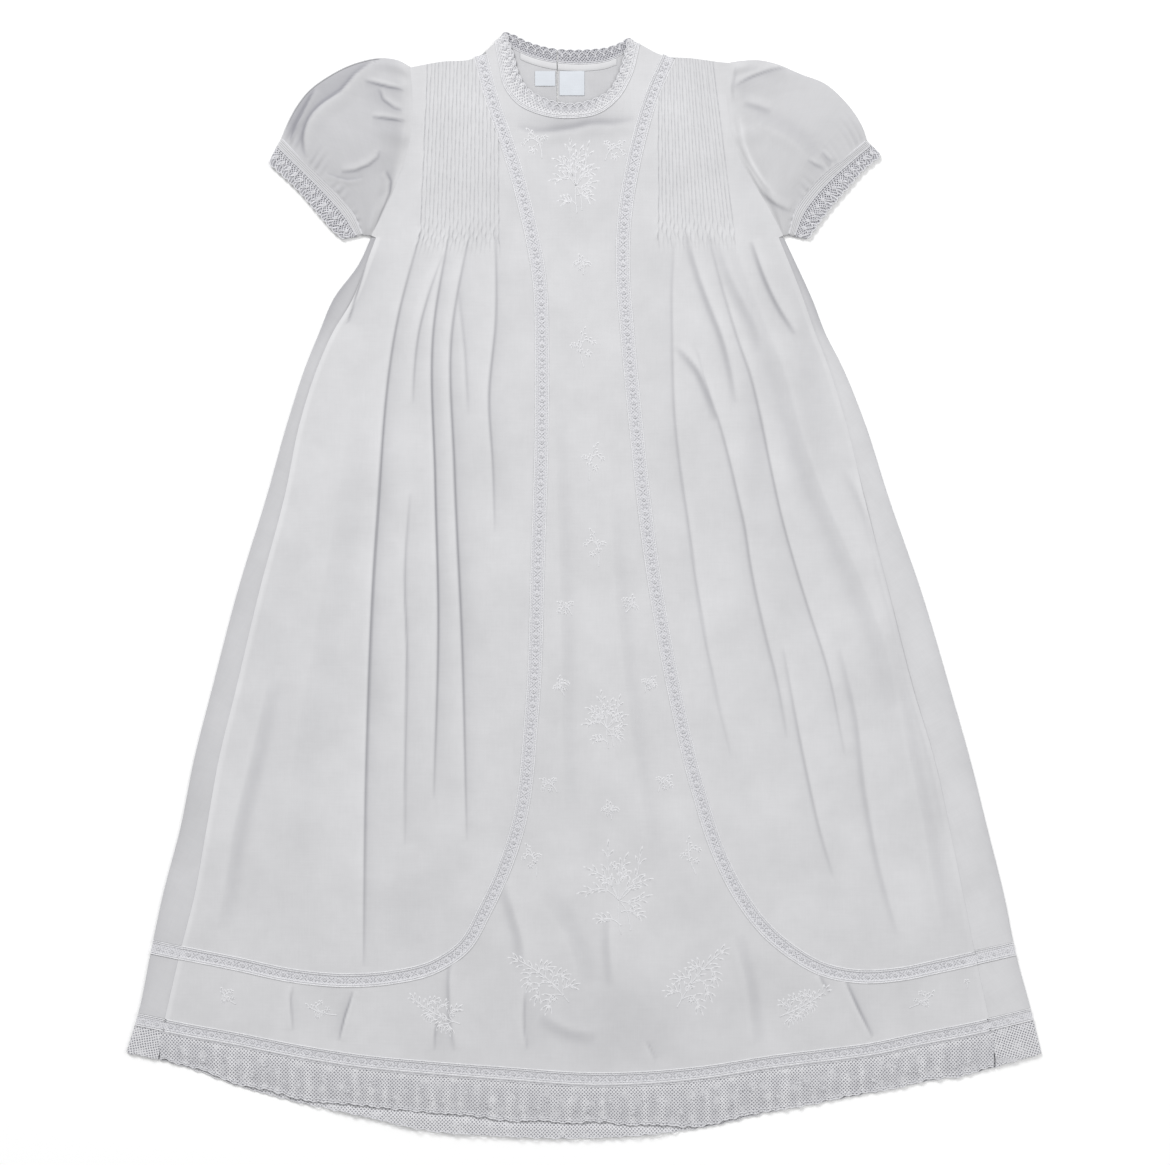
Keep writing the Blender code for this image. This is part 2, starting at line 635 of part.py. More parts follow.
def tuck_crest(block, number):
    """The crest of one pin tuck, from its top to where its fullness has spread out."""
    part = number / (TUCKS - 1)
    x_release = block.first + (block.last - block.first) * part
    lean = block.first_lean + (block.last_lean - block.first_lean) * part
    spread = (x_release - (block.first + block.last) / 2) * TUCK_SPREAD
    rows = np.linspace(0.0, 1.0, TUCK_ROWS)
    stitched = np.column_stack([
        x_release + lean * (1 - rows),
        block.top + (block.release - block.top) * rows,
    ])
    loose = np.array([
        (x_release + spread * LOOSE_SPREAD, block.release - TUCK_RELEASE * LOOSE_PART),
        (x_release + spread, block.release - TUCK_RELEASE),
    ])
    return np.concatenate([stitched, loose])


def tuck_relief(block):
    """Height of a block of pin tucks, sharp while stitched and fading below."""
    crests = [tuck_crest(block, number) for number in range(TUCKS)]

    def relief(points):
        height = np.zeros(len(points))
        fade = eased((points[:, 1] - (block.release - TUCK_RELEASE)) / TUCK_RELEASE)
        for crest in crests:
            reach = distance_to(crest, points)[0]
            rise = TUCK_HEIGHT * fade * np.clip(1 - reach / TUCK_HALF_WIDTH, 0.0, 1.0)
            height = np.maximum(height, rise)
        return height

    return relief


def tuck_lines(block):
    lines = []
    for number in range(TUCKS):
        crest = tuck_crest(block, number)
        lines.append(crest)
        lines.append(beside(crest, TUCK_HALF_WIDTH))
        lines.append(beside(crest, -TUCK_HALF_WIDTH))
    return lines


def rails(half_width, centre):
    """Relief of the two raised edges of a lace strip."""
    def relief(points):
        reach = distance_to(centre, points)[0]
        return RAIL_HEIGHT * np.clip((reach - (half_width - RAIL_WIDTH)) / RAIL_SLOPE + 1, 0.0, 1.0)

    return relief


def rail_lines(half_width, centre):
    inner = half_width - RAIL_WIDTH
    reaches = (-inner, RAIL_SLOPE - inner, inner - RAIL_SLOPE, inner)
    return [beside(centre, reach) for reach in reaches]


def together(*reliefs):
    return lambda points: np.max([relief(points) for relief in reliefs], axis=0)


def front_layer(relief=None, thickness=WALL):
    """Places flat points on the front layer, its outside on top with the relief."""
    def place(points, outside):
        height = np.full(len(points), FRONT_INSIDE)
        if outside:
            height = height + thickness
            if relief is not None:
                height = height + relief(points)
        return np.column_stack([points, height])

    return place


LEFT_FOLD = column(SKIRT, "y", "left_fold")
LEFT_SEAM = column(SKIRT, "y", "left_seam")
RIGHT_FOLD = column(SKIRT, "y", "right_fold")
RIGHT_SEAM = column(SKIRT, "y", "right_seam")
INSERTION_TOP = column(HEM, "x", "insertion_top")
FRONT_LACE_EDGE = column(HEM, "x", "front_lace_edge")
BACK_LACE_EDGE = column(HEM, "x", "back_lace_edge")
UNDERARM_Y = SKIRT[0].y
SIDE_PARTS = np.linspace(0, 1, SEAM_POINTS) ** SEAM_CROWDING
SIDE_HEIGHTS = UNDERARM_Y + (BACK_LAST_Y - UNDERARM_Y) * SIDE_PARTS


def turn_x(y, side):
    """Where the back starts to turn at a side fold: side is -1 on the left, 1 on the right."""
    return LEFT_FOLD(y) + FOLD_REACH if side < 0 else RIGHT_FOLD(y) - FOLD_REACH


def seam_x(y, side):
    return LEFT_SEAM(y) if side < 0 else RIGHT_SEAM(y)


def wrap_width(y, side):
    """How far the back runs on over the front, from the fold to the side seam."""
    return side * (turn_x(y, side) - seam_x(y, side)) - GAP / 2


def seam_line(side):
    """The front's edge at a side seam, from above the underarm to below the hem."""
    low = np.linspace(BACK_LAST_Y, SEAM_LAST_Y, LOW_SEAM_POINTS + 1)[1:]
    heights = np.concatenate([[UNDERARM_Y + OVERRUN], SIDE_HEIGHTS, low])
    return np.column_stack([seam_x(heights, side) - side * GAP / 2, heights])


def underarm(side, shift):
    """A level line at the underarm, from outside the fold to inside the side seam."""
    y = UNDERARM_Y + shift
    return np.array([(turn_x(y, side) + side * OVERRUN, y), (seam_x(y, side) - side * OVERRUN, y)])


def hem_line(height_of, shift=0.0):
    """A line across the hem at a height that varies with x."""
    x = np.linspace(HEM[0].x, HEM[-1].x, HEM_POINTS)
    return np.column_stack([x, height_of(x) + shift])


def back_layer(relief=None):
    """Places flat points on the back layer, which turns round at both side folds.

    A flat point past the turn goes half way round a circle of the fold's radius and then
    back over the top. The outside is underneath at first, and on top past the fold.
    """
    def place(points, outside):
        x = points[:, 0]
        y = points[:, 1]
        side = np.where(x < SLIT_X, -1, 1)
        turn = np.where(side < 0, LEFT_FOLD(y) + FOLD_REACH, RIGHT_FOLD(y) - FOLD_REACH)
        past = np.clip(side * (x - turn), 0.0, None)
        past = np.where(y > UNDERARM_Y + JOINED, 0.0, past)
        angle = np.minimum(past / FOLD_LENGTH, 1.0) * math.pi
        radius = FOLD_MIDDLE + (WALL / 2 if outside else -WALL / 2)
        over = np.maximum(past - FOLD_LENGTH, 0.0)
        bent = turn + side * (radius * np.sin(angle) - over)
        height = FOLD_REACH - radius * np.cos(angle)
        result = np.column_stack([np.where(past > 0, bent, x), y, height])
        if relief is not None:
            shown = past >= FOLD_LENGTH if outside else past == 0
            result[:, 2] += np.where(shown, relief(result[:, :2]), 0.0)
        return result

    return place


def at_side(height_of, side, past_turn=None):
    """A flat point of the back past a side fold, or at the side seam, on a level line."""
    y = height_of(side * HEM[-1].x)
    for _ in range(SETTLING_ROUNDS):
        past = FOLD_LENGTH + wrap_width(y, side) if past_turn is None else past_turn
        over = max(0.0, past - FOLD_LENGTH)
        y = height_of(turn_x(y, side) - side * over)
    return (turn_x(y, side) + side * past, y)


def across_back(height_of, middle):
    """A line across the back, from side seam to side seam, in flat points.

    It follows both folds step by step, and between them it has a point at each x of middle.
    """
    left = [at_side(height_of, -1)] + [at_side(height_of, -1, past) for past in TURN_STEPS[::-1]]
    right = [at_side(height_of, 1, past) for past in TURN_STEPS] + [at_side(height_of, 1)]
    low = left[-1][0] + TURN_CLEAR
    high = right[0][0] - TURN_CLEAR
    between = [(x, height_of(x)) for x in middle if low < x < high]
    return np.array(left + between + right)


def fold_columns(upper, lower):
    """Lines that join two lines across the back at each step of both side folds."""
    count = len(TURN_STEPS)
    places = list(range(1, count + 1)) + list(range(-count - 1, -1))
    return [np.array([upper[k], lower[k]]) for k in places]


def add_back_strip(name, finish, top_of, bottom_of, middle, lower_middle=None, **options):
    """A strip across the whole back between two lines."""
    upper = across_back(top_of, middle)
    lower = across_back(bottom_of, middle if lower_middle is None else lower_middle)
    outline = np.concatenate([upper, lower[::-1]])
    place = back_layer(options.pop("relief", None))
    return add_wall(name, finish, outline, place, both=fold_columns(upper, lower), **options)


def scallops(line, side=1):
    """The line with rounded scallops, whose tops stand to its left where side is positive."""
    length = np.linalg.norm(np.diff(line, axis=0), axis=1).sum()
    count = max(2, round(length / SCALLOP_PITCH))
    even = resampled(line, count * SCALLOP_POINTS + 1)
    raised = beside(even, side * SCALLOP_DEPTH)
    hollow = np.arange(len(even)) % SCALLOP_POINTS == 0
    bulge = np.where(hollow, SCALLOP_HOLLOW, SCALLOP_TOP)
    return even + (raised - even) * bulge[:, None]


def build_front():
    half = INSERTION_WIDTH / 2
    left = smooth(LEFT_INSERTION, OUTLINE_TOLERANCE)
    right = smooth(RIGHT_INSERTION, OUTLINE_TOLERANCE)
    left_seam = seam_line(-1)
    right_seam = seam_line(1)
    left_shoulder = extended(smooth(LEFT_SHOULDER, OUTLINE_TOLERANCE), OVERRUN)
    right_shoulder = extended(smooth(RIGHT_SHOULDER, OUTLINE_TOLERANCE), OVERRUN)
    neck = extended(beside(smooth(FRONT_NECK, OUTLINE_TOLERANCE), -GAP / 2), OVERRUN)

    centre = outline_of(
        neck[::-1],
        left_shoulder[::-1],
        extended(beside(left, half + GAP), OVERRUN),
        left_seam,
        hem_line(INSERTION_TOP, GAP),
        right_seam[::-1],
        extended(beside(right, -half - GAP), OVERRUN)[::-1],
        right_shoulder[::-1],
    )
    add_wall("front_center", BATISTE, centre, front_layer(fold_relief(CENTRE_FOLDS)),
             outside=fold_lines(CENTRE_FOLDS))

    left_side = outline_of(
        left_shoulder[::-1],
        extended(beside(smooth(LEFT_ARMHOLE, OUTLINE_TOLERANCE), GAP / 2), OVERRUN),
        underarm(-1, GAP),
        left_seam,
        extended(beside(left, -half - GAP), OVERRUN)[::-1],
    )
    relief = together(tuck_relief(LEFT_TUCKS), fold_relief(LEFT_FOLDS))
    add_wall("front_side_left", BATISTE, left_side, front_layer(relief),
             outside=tuck_lines(LEFT_TUCKS) + fold_lines(LEFT_FOLDS))

    right_side = outline_of(
        right_shoulder,
        extended(beside(smooth(RIGHT_ARMHOLE, OUTLINE_TOLERANCE), -GAP / 2), OVERRUN),
        underarm(1, GAP),
        right_seam,
        extended(beside(right, half + GAP), OVERRUN)[::-1],
    )
    relief = together(tuck_relief(RIGHT_TUCKS), fold_relief(RIGHT_FOLDS))
    add_wall("front_side_right", BATISTE, right_side, front_layer(relief),
             outside=tuck_lines(RIGHT_TUCKS) + fold_lines(RIGHT_FOLDS))

    for name, line, seam, shoulder in (
        ("insertion_left", left, left_seam, left_shoulder),
        ("insertion_right", right, right_seam, right_shoulder),
    ):
        strip = outline_of(
            extended(beside(line, -half), OVERRUN),
            seam,
            extended(beside(line, half), OVERRUN)[::-1],
            shoulder,
        )
        add_wall(name, LACE, strip, front_layer(rails(half, line)), outside=rail_lines(half, line))


def build_front_hem():
    """The second insertion and the gathered lace of the front, between the side seams."""
    half = HEM_INSERTION_WIDTH / 2
    left_seam = seam_line(-1)
    right_seam = seam_line(1)[::-1]
    middle = hem_line(INSERTION_TOP, -half)
    strip = outline_of(
        hem_line(INSERTION_TOP)[::-1],
        left_seam,
        hem_line(INSERTION_TOP, -HEM_INSERTION_WIDTH),
        right_seam,
    )
    add_wall("front_hem_insertion", LACE, strip, front_layer(rails(half, middle)),
             outside=rail_lines(half, middle))

    waves = uneven_places(LACE_LEFT, LACE_RIGHT, 2 * FRONT_LACE_WAVES)
    edge = np.column_stack([waves, FRONT_LACE_EDGE(waves)])
    lace = outline_of(
        hem_line(INSERTION_TOP, -HEM_INSERTION_WIDTH - GAP)[::-1],
        left_seam,
        edge,
        right_seam,
    )

    def relief(points):
        top = INSERTION_TOP(points[:, 0]) - HEM_INSERTION_WIDTH
        down = (top - points[:, 1]) / (top - FRONT_LACE_EDGE(points[:, 0]))
        return wave_height(points[:, 0], waves) * eased(down * LACE_RELEASE)

    top = INSERTION_TOP(waves) - HEM_INSERTION_WIDTH
    columns = [
        np.array([(x, high + (low - high) * part) for part in LACE_BREAKS])
        for x, high, low in zip(waves, top, edge[:, 1])
    ]
    add_wall("front_hem_lace", LACE, lace, front_layer(relief), outside=columns)


def uneven_places(first, last, count):
    """Places between two ends whose spacing swells and shrinks like hand gathers."""
    steps = np.arange(count + 1)
    spacing = 1 + WAVE_UNEVENNESS * np.sin(WAVE_DRIFT * steps) * np.cos(WAVE_SWELL * steps)
    places = np.cumsum(spacing)
    return first + (last - first) * (places - places[0]) / (places[-1] - places[0])


def wave_height(x, places):
    """Height of gather waves: every second place is a crest and the others are hollows."""
    crests = np.arange(len(places)) % 2
    tall = WAVE_LOW + (1 - WAVE_LOW) * np.sin(WAVE_CHANGE * np.arange(len(places)))
    return WAVE_HEIGHT * np.interp(x, places, crests * tall)


def down_side(side, past, end):
    """A line down the back at one step past a side fold, or along its side seam."""
    y = np.concatenate([SIDE_HEIGHTS, [end[1]]])
    reach = FOLD_LENGTH + wrap_width(y, side) if past is None else past
    line = np.column_stack([turn_x(y, side) + side * reach, y])
    line[-1] = end
    return line


def back_rise(x):
    """How far the back insertion's middle lies above the hem insertion."""
    return np.interp(x, (HEM[0].x, HEM[-1].x), (BACK_RISE_LEFT, BACK_RISE_RIGHT))


def build_back_panel():
    """The back in one piece: cut down its middle at the neck, and wrapped at both sides."""
    middle = np.linspace(HEM[0].x, HEM[-1].x, BACK_POINTS)
    half = INSERTION_WIDTH / 2
    lower = across_back(lambda x: INSERTION_TOP(x) + back_rise(x) + half + GAP, middle)
    neck = extended(beside(smooth(BACK_NECK, OUTLINE_TOLERANCE), -GAP / 2), OVERRUN)[::-1]
    slit = np.array([(SLIT_X, SLIT_END_Y - OVERRUN), (SLIT_X, SLIT_TOP_Y)])
    left_slit = slit - (SLIT_WIDTH / 2, 0.0)
    right_slit = slit[::-1] + (SLIT_WIDTH / 2, 0.0)
    slit_end = np.array([(SLIT_X + OVERRUN, SLIT_END_Y), (SLIT_X - OVERRUN, SLIT_END_Y)])
    level = np.array([
        (LEFT_FOLD(UNDERARM_Y) - OVERRUN, UNDERARM_Y),
        (RIGHT_FOLD(UNDERARM_Y) + OVERRUN, UNDERARM_Y),
    ])
    upper = outline_of(
        level,
        extended(beside(smooth(RIGHT_ARMHOLE, OUTLINE_TOLERANCE), -GAP / 2), OVERRUN)[::-1],
        extended(smooth(RIGHT_SHOULDER, OUTLINE_TOLERANCE), OVERRUN)[::-1],
        neck,
        right_slit,
        slit_end,
        left_slit,
        neck,
        extended(smooth(LEFT_SHOULDER, OUTLINE_TOLERANCE), OVERRUN)[::-1],
        extended(beside(smooth(LEFT_ARMHOLE, OUTLINE_TOLERANCE), GAP / 2), OVERRUN),
    )
    count = len(TURN_STEPS)
    left = [down_side(-1, past, lower[count - k]) for k, past in enumerate(TURN_STEPS)]
    right = [down_side(1, past, lower[k - count - 1]) for k, past in enumerate(TURN_STEPS)]
    outline = np.concatenate([
        upper[2:],
        [line[0] for line in left],
        down_side(-1, None, lower[0])[:-1],
        lower,
        down_side(1, None, lower[-1])[:-1][::-1],
        [line[0] for line in right[::-1]],
    ])
    add_wall("back", BATISTE, outline, back_layer(), both=left + right)


def build_back_strips():
    """The strips that finish the back from its insertion down to its gathered lace."""
    middle = np.linspace(HEM[0].x, HEM[-1].x, BACK_POINTS)
    half = INSERTION_WIDTH / 2
    shift = HEM_INSERTION_WIDTH

    def insertion_middle(x):
        return INSERTION_TOP(x) + back_rise(x)

    add_back_strip("back_insertion", LACE, lambda x: insertion_middle(x) + half,
                   lambda x: insertion_middle(x) - half, middle)
    add_back_strip("back_hem_band", BATISTE, lambda x: insertion_middle(x) - half - GAP,
                   lambda x: INSERTION_TOP(x) + GAP, middle)
    add_back_strip("back_hem_insertion", LACE, INSERTION_TOP,
                   lambda x: INSERTION_TOP(x) - shift, middle)

    waves = uneven_places(PEEK_LEFT, PEEK_RIGHT, 2 * BACK_LACE_WAVES)
    beyond = middle[(middle < PEEK_LEFT - PEEK_CLEAR) | (middle > PEEK_RIGHT + PEEK_CLEAR)]

    def relief(points):
        x = np.clip(points[:, 0], PEEK_LEFT, PEEK_RIGHT)
        below_front = FRONT_LACE_EDGE(x) - GAP - points[:, 1]
        shown = FRONT_LACE_EDGE(x) - BACK_LACE_EDGE(x) - PEEK_SLOPE
        height = wave_height(x, waves) * np.clip(shown / PEEK_SLOPE, 0.0, 1.0)
        return height * np.clip(below_front / PEEK_SLOPE, 0.0, 1.0)

    peek = np.column_stack([waves, FRONT_LACE_EDGE(waves) - GAP])
    add_back_strip("back_hem_lace", LACE, lambda x: INSERTION_TOP(x) - shift - GAP, BACK_LACE_EDGE,
                   middle, np.sort(np.concatenate([waves, beyond])), relief=relief,
                   inside_only=[peek])


def fitted(line, start, end):
    """The line with its ends moved onto two points, and the rest moved along with them."""
    part = np.linspace(0.0, 1.0, len(line))[:, None]
    return line + (start - line[0]) * (1 - part) + (end - line[-1]) * part


def shortened(line, reach, count):
    """The line cut short at both ends and given count even points."""
    length = np.linalg.norm(np.diff(line, axis=0), axis=1).sum()
    fine = resampled(line, FINE_POINTS)
    places = np.linspace(0.0, length, FINE_POINTS)
    wanted = np.linspace(reach, length - reach, count)
    return np.stack([np.interp(wanted, places, fine[:, k]) for k in range(2)], axis=1)


def sleeve_patch(armhole, cuff, top, columns):
    """Flat points of a sleeve blended from its four edges, rows from armhole to cuff."""
    armhole = shortened(armhole, FOLD_REACH, columns)
    cuff = resampled(cuff, columns)
    top = fitted(resampled(top, SLEEVE_ROWS), armhole[0], cuff[0])
    part = np.linspace(0.0, 1.0, SLEEVE_ROWS)
    under = armhole[-1] + (cuff[-1] - armhole[-1]) * part[:, None]
    u = part[:, None, None]
    v = np.linspace(0.0, 1.0, columns)[None, :, None]
    ruled = armhole[None] * (1 - u) + cuff[None] * u
    sides = top[:, None] * (1 - v) + under[:, None] * v
    near = armhole[0] * (1 - v) + armhole[-1] * v
    far = cuff[0] * (1 - v) + cuff[-1] * v
    return ruled + sides - near * (1 - u) - far * u


def build_sleeve(name, side, armhole, cuff, cuff_edge, top, folds):
    """One puff sleeve with its stitched band and its lace, laid flat with a soft puff."""
    arm = beside(smooth(armhole, OUTLINE_TOLERANCE), side * GAP / 2)
    cuff = shortened(smooth(cuff, OUTLINE_TOLERANCE), FOLD_REACH, BAND_COLUMNS)
    free_edge = smooth(cuff_edge, OUTLINE_TOLERANCE)
    edge = shortened(free_edge, FOLD_REACH, BAND_COLUMNS)
    top = beside(smooth(top, OUTLINE_TOLERANCE), -side * FOLD_REACH)
    flat = sleeve_patch(arm, cuff, top, SLEEVE_COLUMNS)
    u = np.linspace(0.0, 1.0, SLEEVE_ROWS)[:, None]
    v = np.linspace(0.0, 1.0, SLEEVE_COLUMNS)[None]
    round_over = (1 - (2 * v - 1) ** 2) ** PUFF_ROUNDNESS
    falling = 1 - PUFF_LOSS * eased((u - PUFF_FALLS) / (1 - PUFF_FALLS))
    rise = PUFF_HEIGHT * round_over * eased(u / PUFF_FULL) * falling
    at_seams = eased(u / SEAM_FADE) * eased((1 - u) / SEAM_FADE)
    cap = np.sin(math.pi * CAP_GATHERS * v**CAP_CROWDING) ** 2 * (1 - eased(u / CAP_REACH))
    cuff_end = np.sin(math.pi * CUFF_GATHERS * v) ** 2 * eased((u - CUFF_START) / CUFF_REACH)
    creases = fold_relief(folds)(flat.reshape(-1, 2)).reshape(rise.shape)
    relief = np.maximum(GATHER_HEIGHT * np.maximum(cap, cuff_end), creases) * at_seams
    add_tube(f"sleeve_{name}", BATISTE, flat, rise, relief, BAND_COLUMNS)

    width = CUFF_BAND_WIDTH + CUFF_LACE_WIDTH
    band_start = GAP / width
    band_end = CUFF_BAND_WIDTH / width
    rows = np.linspace(band_start, band_end, BAND_ROWS)
    flat = cuff + (edge - cuff) * rows[:, None, None]
    ridges = np.where(np.arange(BAND_ROWS) % 2 == 1, RIDGE_HEIGHT, 0.0)[:, None]
    add_tube(f"cuff_band_{name}", BAND, flat, None, ridges.repeat(BAND_COLUMNS, axis=1))

    free = scallops(free_edge, side)
    free = fitted(free, edge[0], edge[-1])
    near = resampled(cuff + (edge - cuff) * (band_end + GAP / width), len(free))
    add_tube(f"cuff_lace_{name}", LACE, np.array([near, free]))


def build_neck():
    """The lace round the neck, the binding of the back neck, and the labels on it."""
    seam = beside(smooth(FRONT_NECK, OUTLINE_TOLERANCE), GAP / 2)
    free = scallops(smooth(FRONT_NECK_LACE_EDGE))
    outline = np.concatenate([seam, free[::-1]])

    def entredeux(points):
        reach = distance_to(seam, points)[0]
        return RAIL_HEIGHT * np.clip((RAIL_WIDTH - reach) / RAIL_SLOPE + 1, 0.0, 1.0)

    add_wall("neck_lace_front", LACE, outline, front_layer(entredeux),
             outside=[beside(seam, RAIL_WIDTH), beside(seam, RAIL_WIDTH + RAIL_SLOPE)])

    back_seam = beside(smooth(BACK_NECK, OUTLINE_TOLERANCE), GAP / 2)
    back_free = scallops(smooth(BACK_NECK_LACE_EDGE))
    binding_top = beside(smooth(BACK_NECK, OUTLINE_TOLERANCE), -GAP)
    binding_bottom = beside(smooth(BACK_NECK, OUTLINE_TOLERANCE), -GAP - BINDING_WIDTH)
    for name, side, first_x, last_x in (
        ("left", -1, BINDING_LEFT, SLIT_X - SLIT_WIDTH / 2),
        ("right", 1, SLIT_X + SLIT_WIDTH / 2, BINDING_RIGHT),
    ):
        strip = half_strip(back_seam, back_free, SLIT_X + side * SLIT_WIDTH / 2, side)
        add_wall(f"neck_lace_back_{name}", LACE, strip, ground_layer)
        first_end = np.array([(first_x, BINDING_LOW_Y), (first_x, SLIT_TOP_Y)])
        last_end = np.array([(last_x, SLIT_TOP_Y), (last_x, BINDING_LOW_Y)])
        strip = outline_of(binding_top, last_end, binding_bottom[::-1], first_end)
        add_wall(f"neck_binding_{name}", BAND, strip, front_layer(thickness=THIN))

    for label in LABELS:
        outline = np.array([
            (label.left, label.bottom), (label.right, label.bottom),
            (label.right, label.top), (label.left, label.top),
        ])
        add_wall(label.name, SATIN, outline, front_layer(thickness=THIN))


def half_strip(seam, free, edge, side):
    """The part of the back neck lace on one side of the slit, as an outline."""
    def part(line):
        kept = line[side * (line[:, 0] - edge) > CLEAR_OF_EDGE]
        height = np.interp(edge, line[:, 0], line[:, 1])
        cut = np.array([[edge, height]])
        return np.concatenate([kept, cut]) if side < 0 else np.concatenate([cut, kept])

    return np.concatenate([part(seam), part(free)[::-1]])


def ground_layer(points, outside):
    """Places flat points on a wall that lies on the surface."""
    return np.column_stack([points, np.full(len(points), 0.0 if outside else WALL)])


gown = bpy.data.collections.new("christening_gown")


def main():
    clear_scene()
    bpy.context.scene.collection.children.link(gown)
    build_back_panel()
    build_back_strips()
    build_front()
    build_front_hem()
    build_sleeve("left", -1, LEFT_ARMHOLE, LEFT_CUFF, LEFT_CUFF_EDGE, LEFT_SLEEVE_TOP,
                 LEFT_SLEEVE_FOLDS)
    build_sleeve("right", 1, RIGHT_ARMHOLE, RIGHT_CUFF, RIGHT_CUFF_EDGE, RIGHT_SLEEVE_TOP,
                 RIGHT_SLEEVE_FOLDS)
    build_neck()


main()
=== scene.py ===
"""Christening gown of white cotton batiste and lace, laid flat with its front up."""
import math
from collections import namedtuple

import bpy
import numpy as np
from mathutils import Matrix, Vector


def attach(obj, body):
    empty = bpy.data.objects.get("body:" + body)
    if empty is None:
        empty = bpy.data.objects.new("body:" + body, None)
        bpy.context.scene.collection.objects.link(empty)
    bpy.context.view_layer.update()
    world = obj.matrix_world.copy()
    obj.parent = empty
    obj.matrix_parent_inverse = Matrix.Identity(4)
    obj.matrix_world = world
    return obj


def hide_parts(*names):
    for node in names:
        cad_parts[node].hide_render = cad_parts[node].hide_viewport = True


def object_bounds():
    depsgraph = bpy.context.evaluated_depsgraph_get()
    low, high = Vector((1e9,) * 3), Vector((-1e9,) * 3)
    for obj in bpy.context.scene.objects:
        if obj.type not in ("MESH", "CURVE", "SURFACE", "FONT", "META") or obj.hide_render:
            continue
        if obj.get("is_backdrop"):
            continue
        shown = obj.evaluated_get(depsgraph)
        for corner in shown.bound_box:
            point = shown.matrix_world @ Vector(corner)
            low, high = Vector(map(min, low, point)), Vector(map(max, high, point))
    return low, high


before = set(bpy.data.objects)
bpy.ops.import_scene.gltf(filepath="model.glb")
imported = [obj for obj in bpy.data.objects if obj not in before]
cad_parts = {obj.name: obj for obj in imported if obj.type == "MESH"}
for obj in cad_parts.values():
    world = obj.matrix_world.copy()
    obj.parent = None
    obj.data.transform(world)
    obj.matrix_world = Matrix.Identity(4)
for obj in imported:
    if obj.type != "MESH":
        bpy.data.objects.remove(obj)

cad_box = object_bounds()
MM = 0.001

# The photo: its size in pixels, the pixel at the gown's origin, and millimetres for each pixel
PHOTO_WIDTH = 1170
PHOTO_HEIGHT = 1165
MIDDLE_PIXEL_X = 583.5
MIDDLE_PIXEL_Y = 585.5
PIXEL = 0.65
CAMERA_HEIGHT = 2.5

# Heights of the layers, in millimetres above the floor
BACK_INSIDE = 1.0
FRONT_TOP = 2.3
FOLD_RADIUS = 1.15
FOLD_LENGTH = math.pi * FOLD_RADIUS
CLOTH = 0.4
TAPE = 0.3
GAP = 0.3

# Widths of bands and lace, depths of scallops and seams, and tones at the side seams: lighter
# for doubled cloth, and painted shade on the wrapped back beside the side folds and underarms
INSERTION_WIDTH = 9.0
HEM_INSERTION_WIDTH = 8.0
CUFF_BAND_WIDTH = 5.0
CUFF_LACE_WIDTH = 10.6
DOT_PITCH = 9.0
SCALLOP_PITCH = 5.6
SCALLOP_DEPTH = 1.1
SCALLOP_POINTS = 9
BINDING_WIDTH = 4.2
BINDING_LEFT = -41.0
BINDING_RIGHT = 21.5
RAIL = 0.35
UNDERLAP = 0.7
SEAM_UNDERLAP = 1.5
INSIDE = 0.04
SPLIT_Y = -205.0
SEAM_LIGHT_LEFT = 0.42
SEAM_LIGHT_RIGHT = 0.12
LEFT_STRIP_SHADE = 0.14
RIGHT_STRIP_SHADE = 0.02
UNDERARM_SHADE = 0.22

# Centre-back slit
SLIT_X = -17.0
SLIT_WIDTH = 0.8

# Points across the back: between the side folds, round each fold, and on over the front
INNER_POINTS = 90
TURN_POINTS = 8
WRAP_POINTS = 14

# Pin tucks: how many, their shape, the strength of their painted shade and highlight, how far
# they fade out, and the mesh rows of a side panel
TUCKS = 20
TUCK_HEIGHT = 0.65
TUCK_SHADE = 0.4
TUCK_SLOPE = 2.0
TUCK_DROP = 0.45
TUCK_RELEASE = 17.0
TUCK_ROWS = 118
PLEAT_ROWS = 188

# Skirt sections: heights up the gown with the side folds and the side seams
Skirt = namedtuple("Skirt", "y left_fold left_seam right_seam right_fold")
SKIRT = [
    Skirt(226, -138, -134.8, 126.8, 130),
    Skirt(209.5, -145.5, -141, 133.6, 137.8),
    Skirt(186, -162.5, -150, 142.8, 148.5),
    Skirt(163.5, -172, -163.4, 150.7, 157.2),
    Skirt(146.5, -179, -171, 157.5, 166),
    Skirt(107, -192, -184, 170.3, 182.2),
    Skirt(59, -205.5, -194, 182, 197.5),
    Skirt(-3, -224.5, -210.5, 198, 219),
    Skirt(-68, -241.5, -226, 214.5, 238.3),
    Skirt(-113, -253, -237, 228, 251),
    Skirt(-158, -262, -245, 238, 262.3),
    Skirt(-200, -273, -252.5, 246.5, 272.8),
    Skirt(-240, -281.5, -262.5, 254.5, 281),
    Skirt(-275, -288.5, -270.5, 262, 290.4),
    Skirt(-308, -298.5, -278, 269.5, 298.5),
]

# Hem sections: heights across the gown, for front and back
Hem = namedtuple("Hem", "x insertion_top front_lace_edge back_lace_edge")
HEM = [
    Hem(-299, -276, -302.5, -302.5),
    Hem(-257, -284.5, -311.7, -313),
    Hem(-226.5, -290, -322.6, -324),
    Hem(-186, -298, -332.4, -335.4),
    Hem(-145, -304.5, -338, -344),
    Hem(-105, -308.4, -341, -353.3),
    Hem(-54, -312.3, -346.6, -357.6),
    Hem(10.7, -316.2, -348.7, -358.4),
    Hem(79.6, -311.7, -350, -351.6),
    Hem(122.5, -305, -341, -341.6),
    Hem(155, -301, -335, -335.4),
    Hem(187.5, -296.7, -329, -329.2),
    Hem(219.4, -290, -322.5, -322.5),
    Hem(252, -283.7, -316.5, -316.5),
    Hem(299, -272.5, -303.5, -303.5),
]
BACK_RISE_LEFT = 45.2
BACK_RISE_RIGHT = 41.2

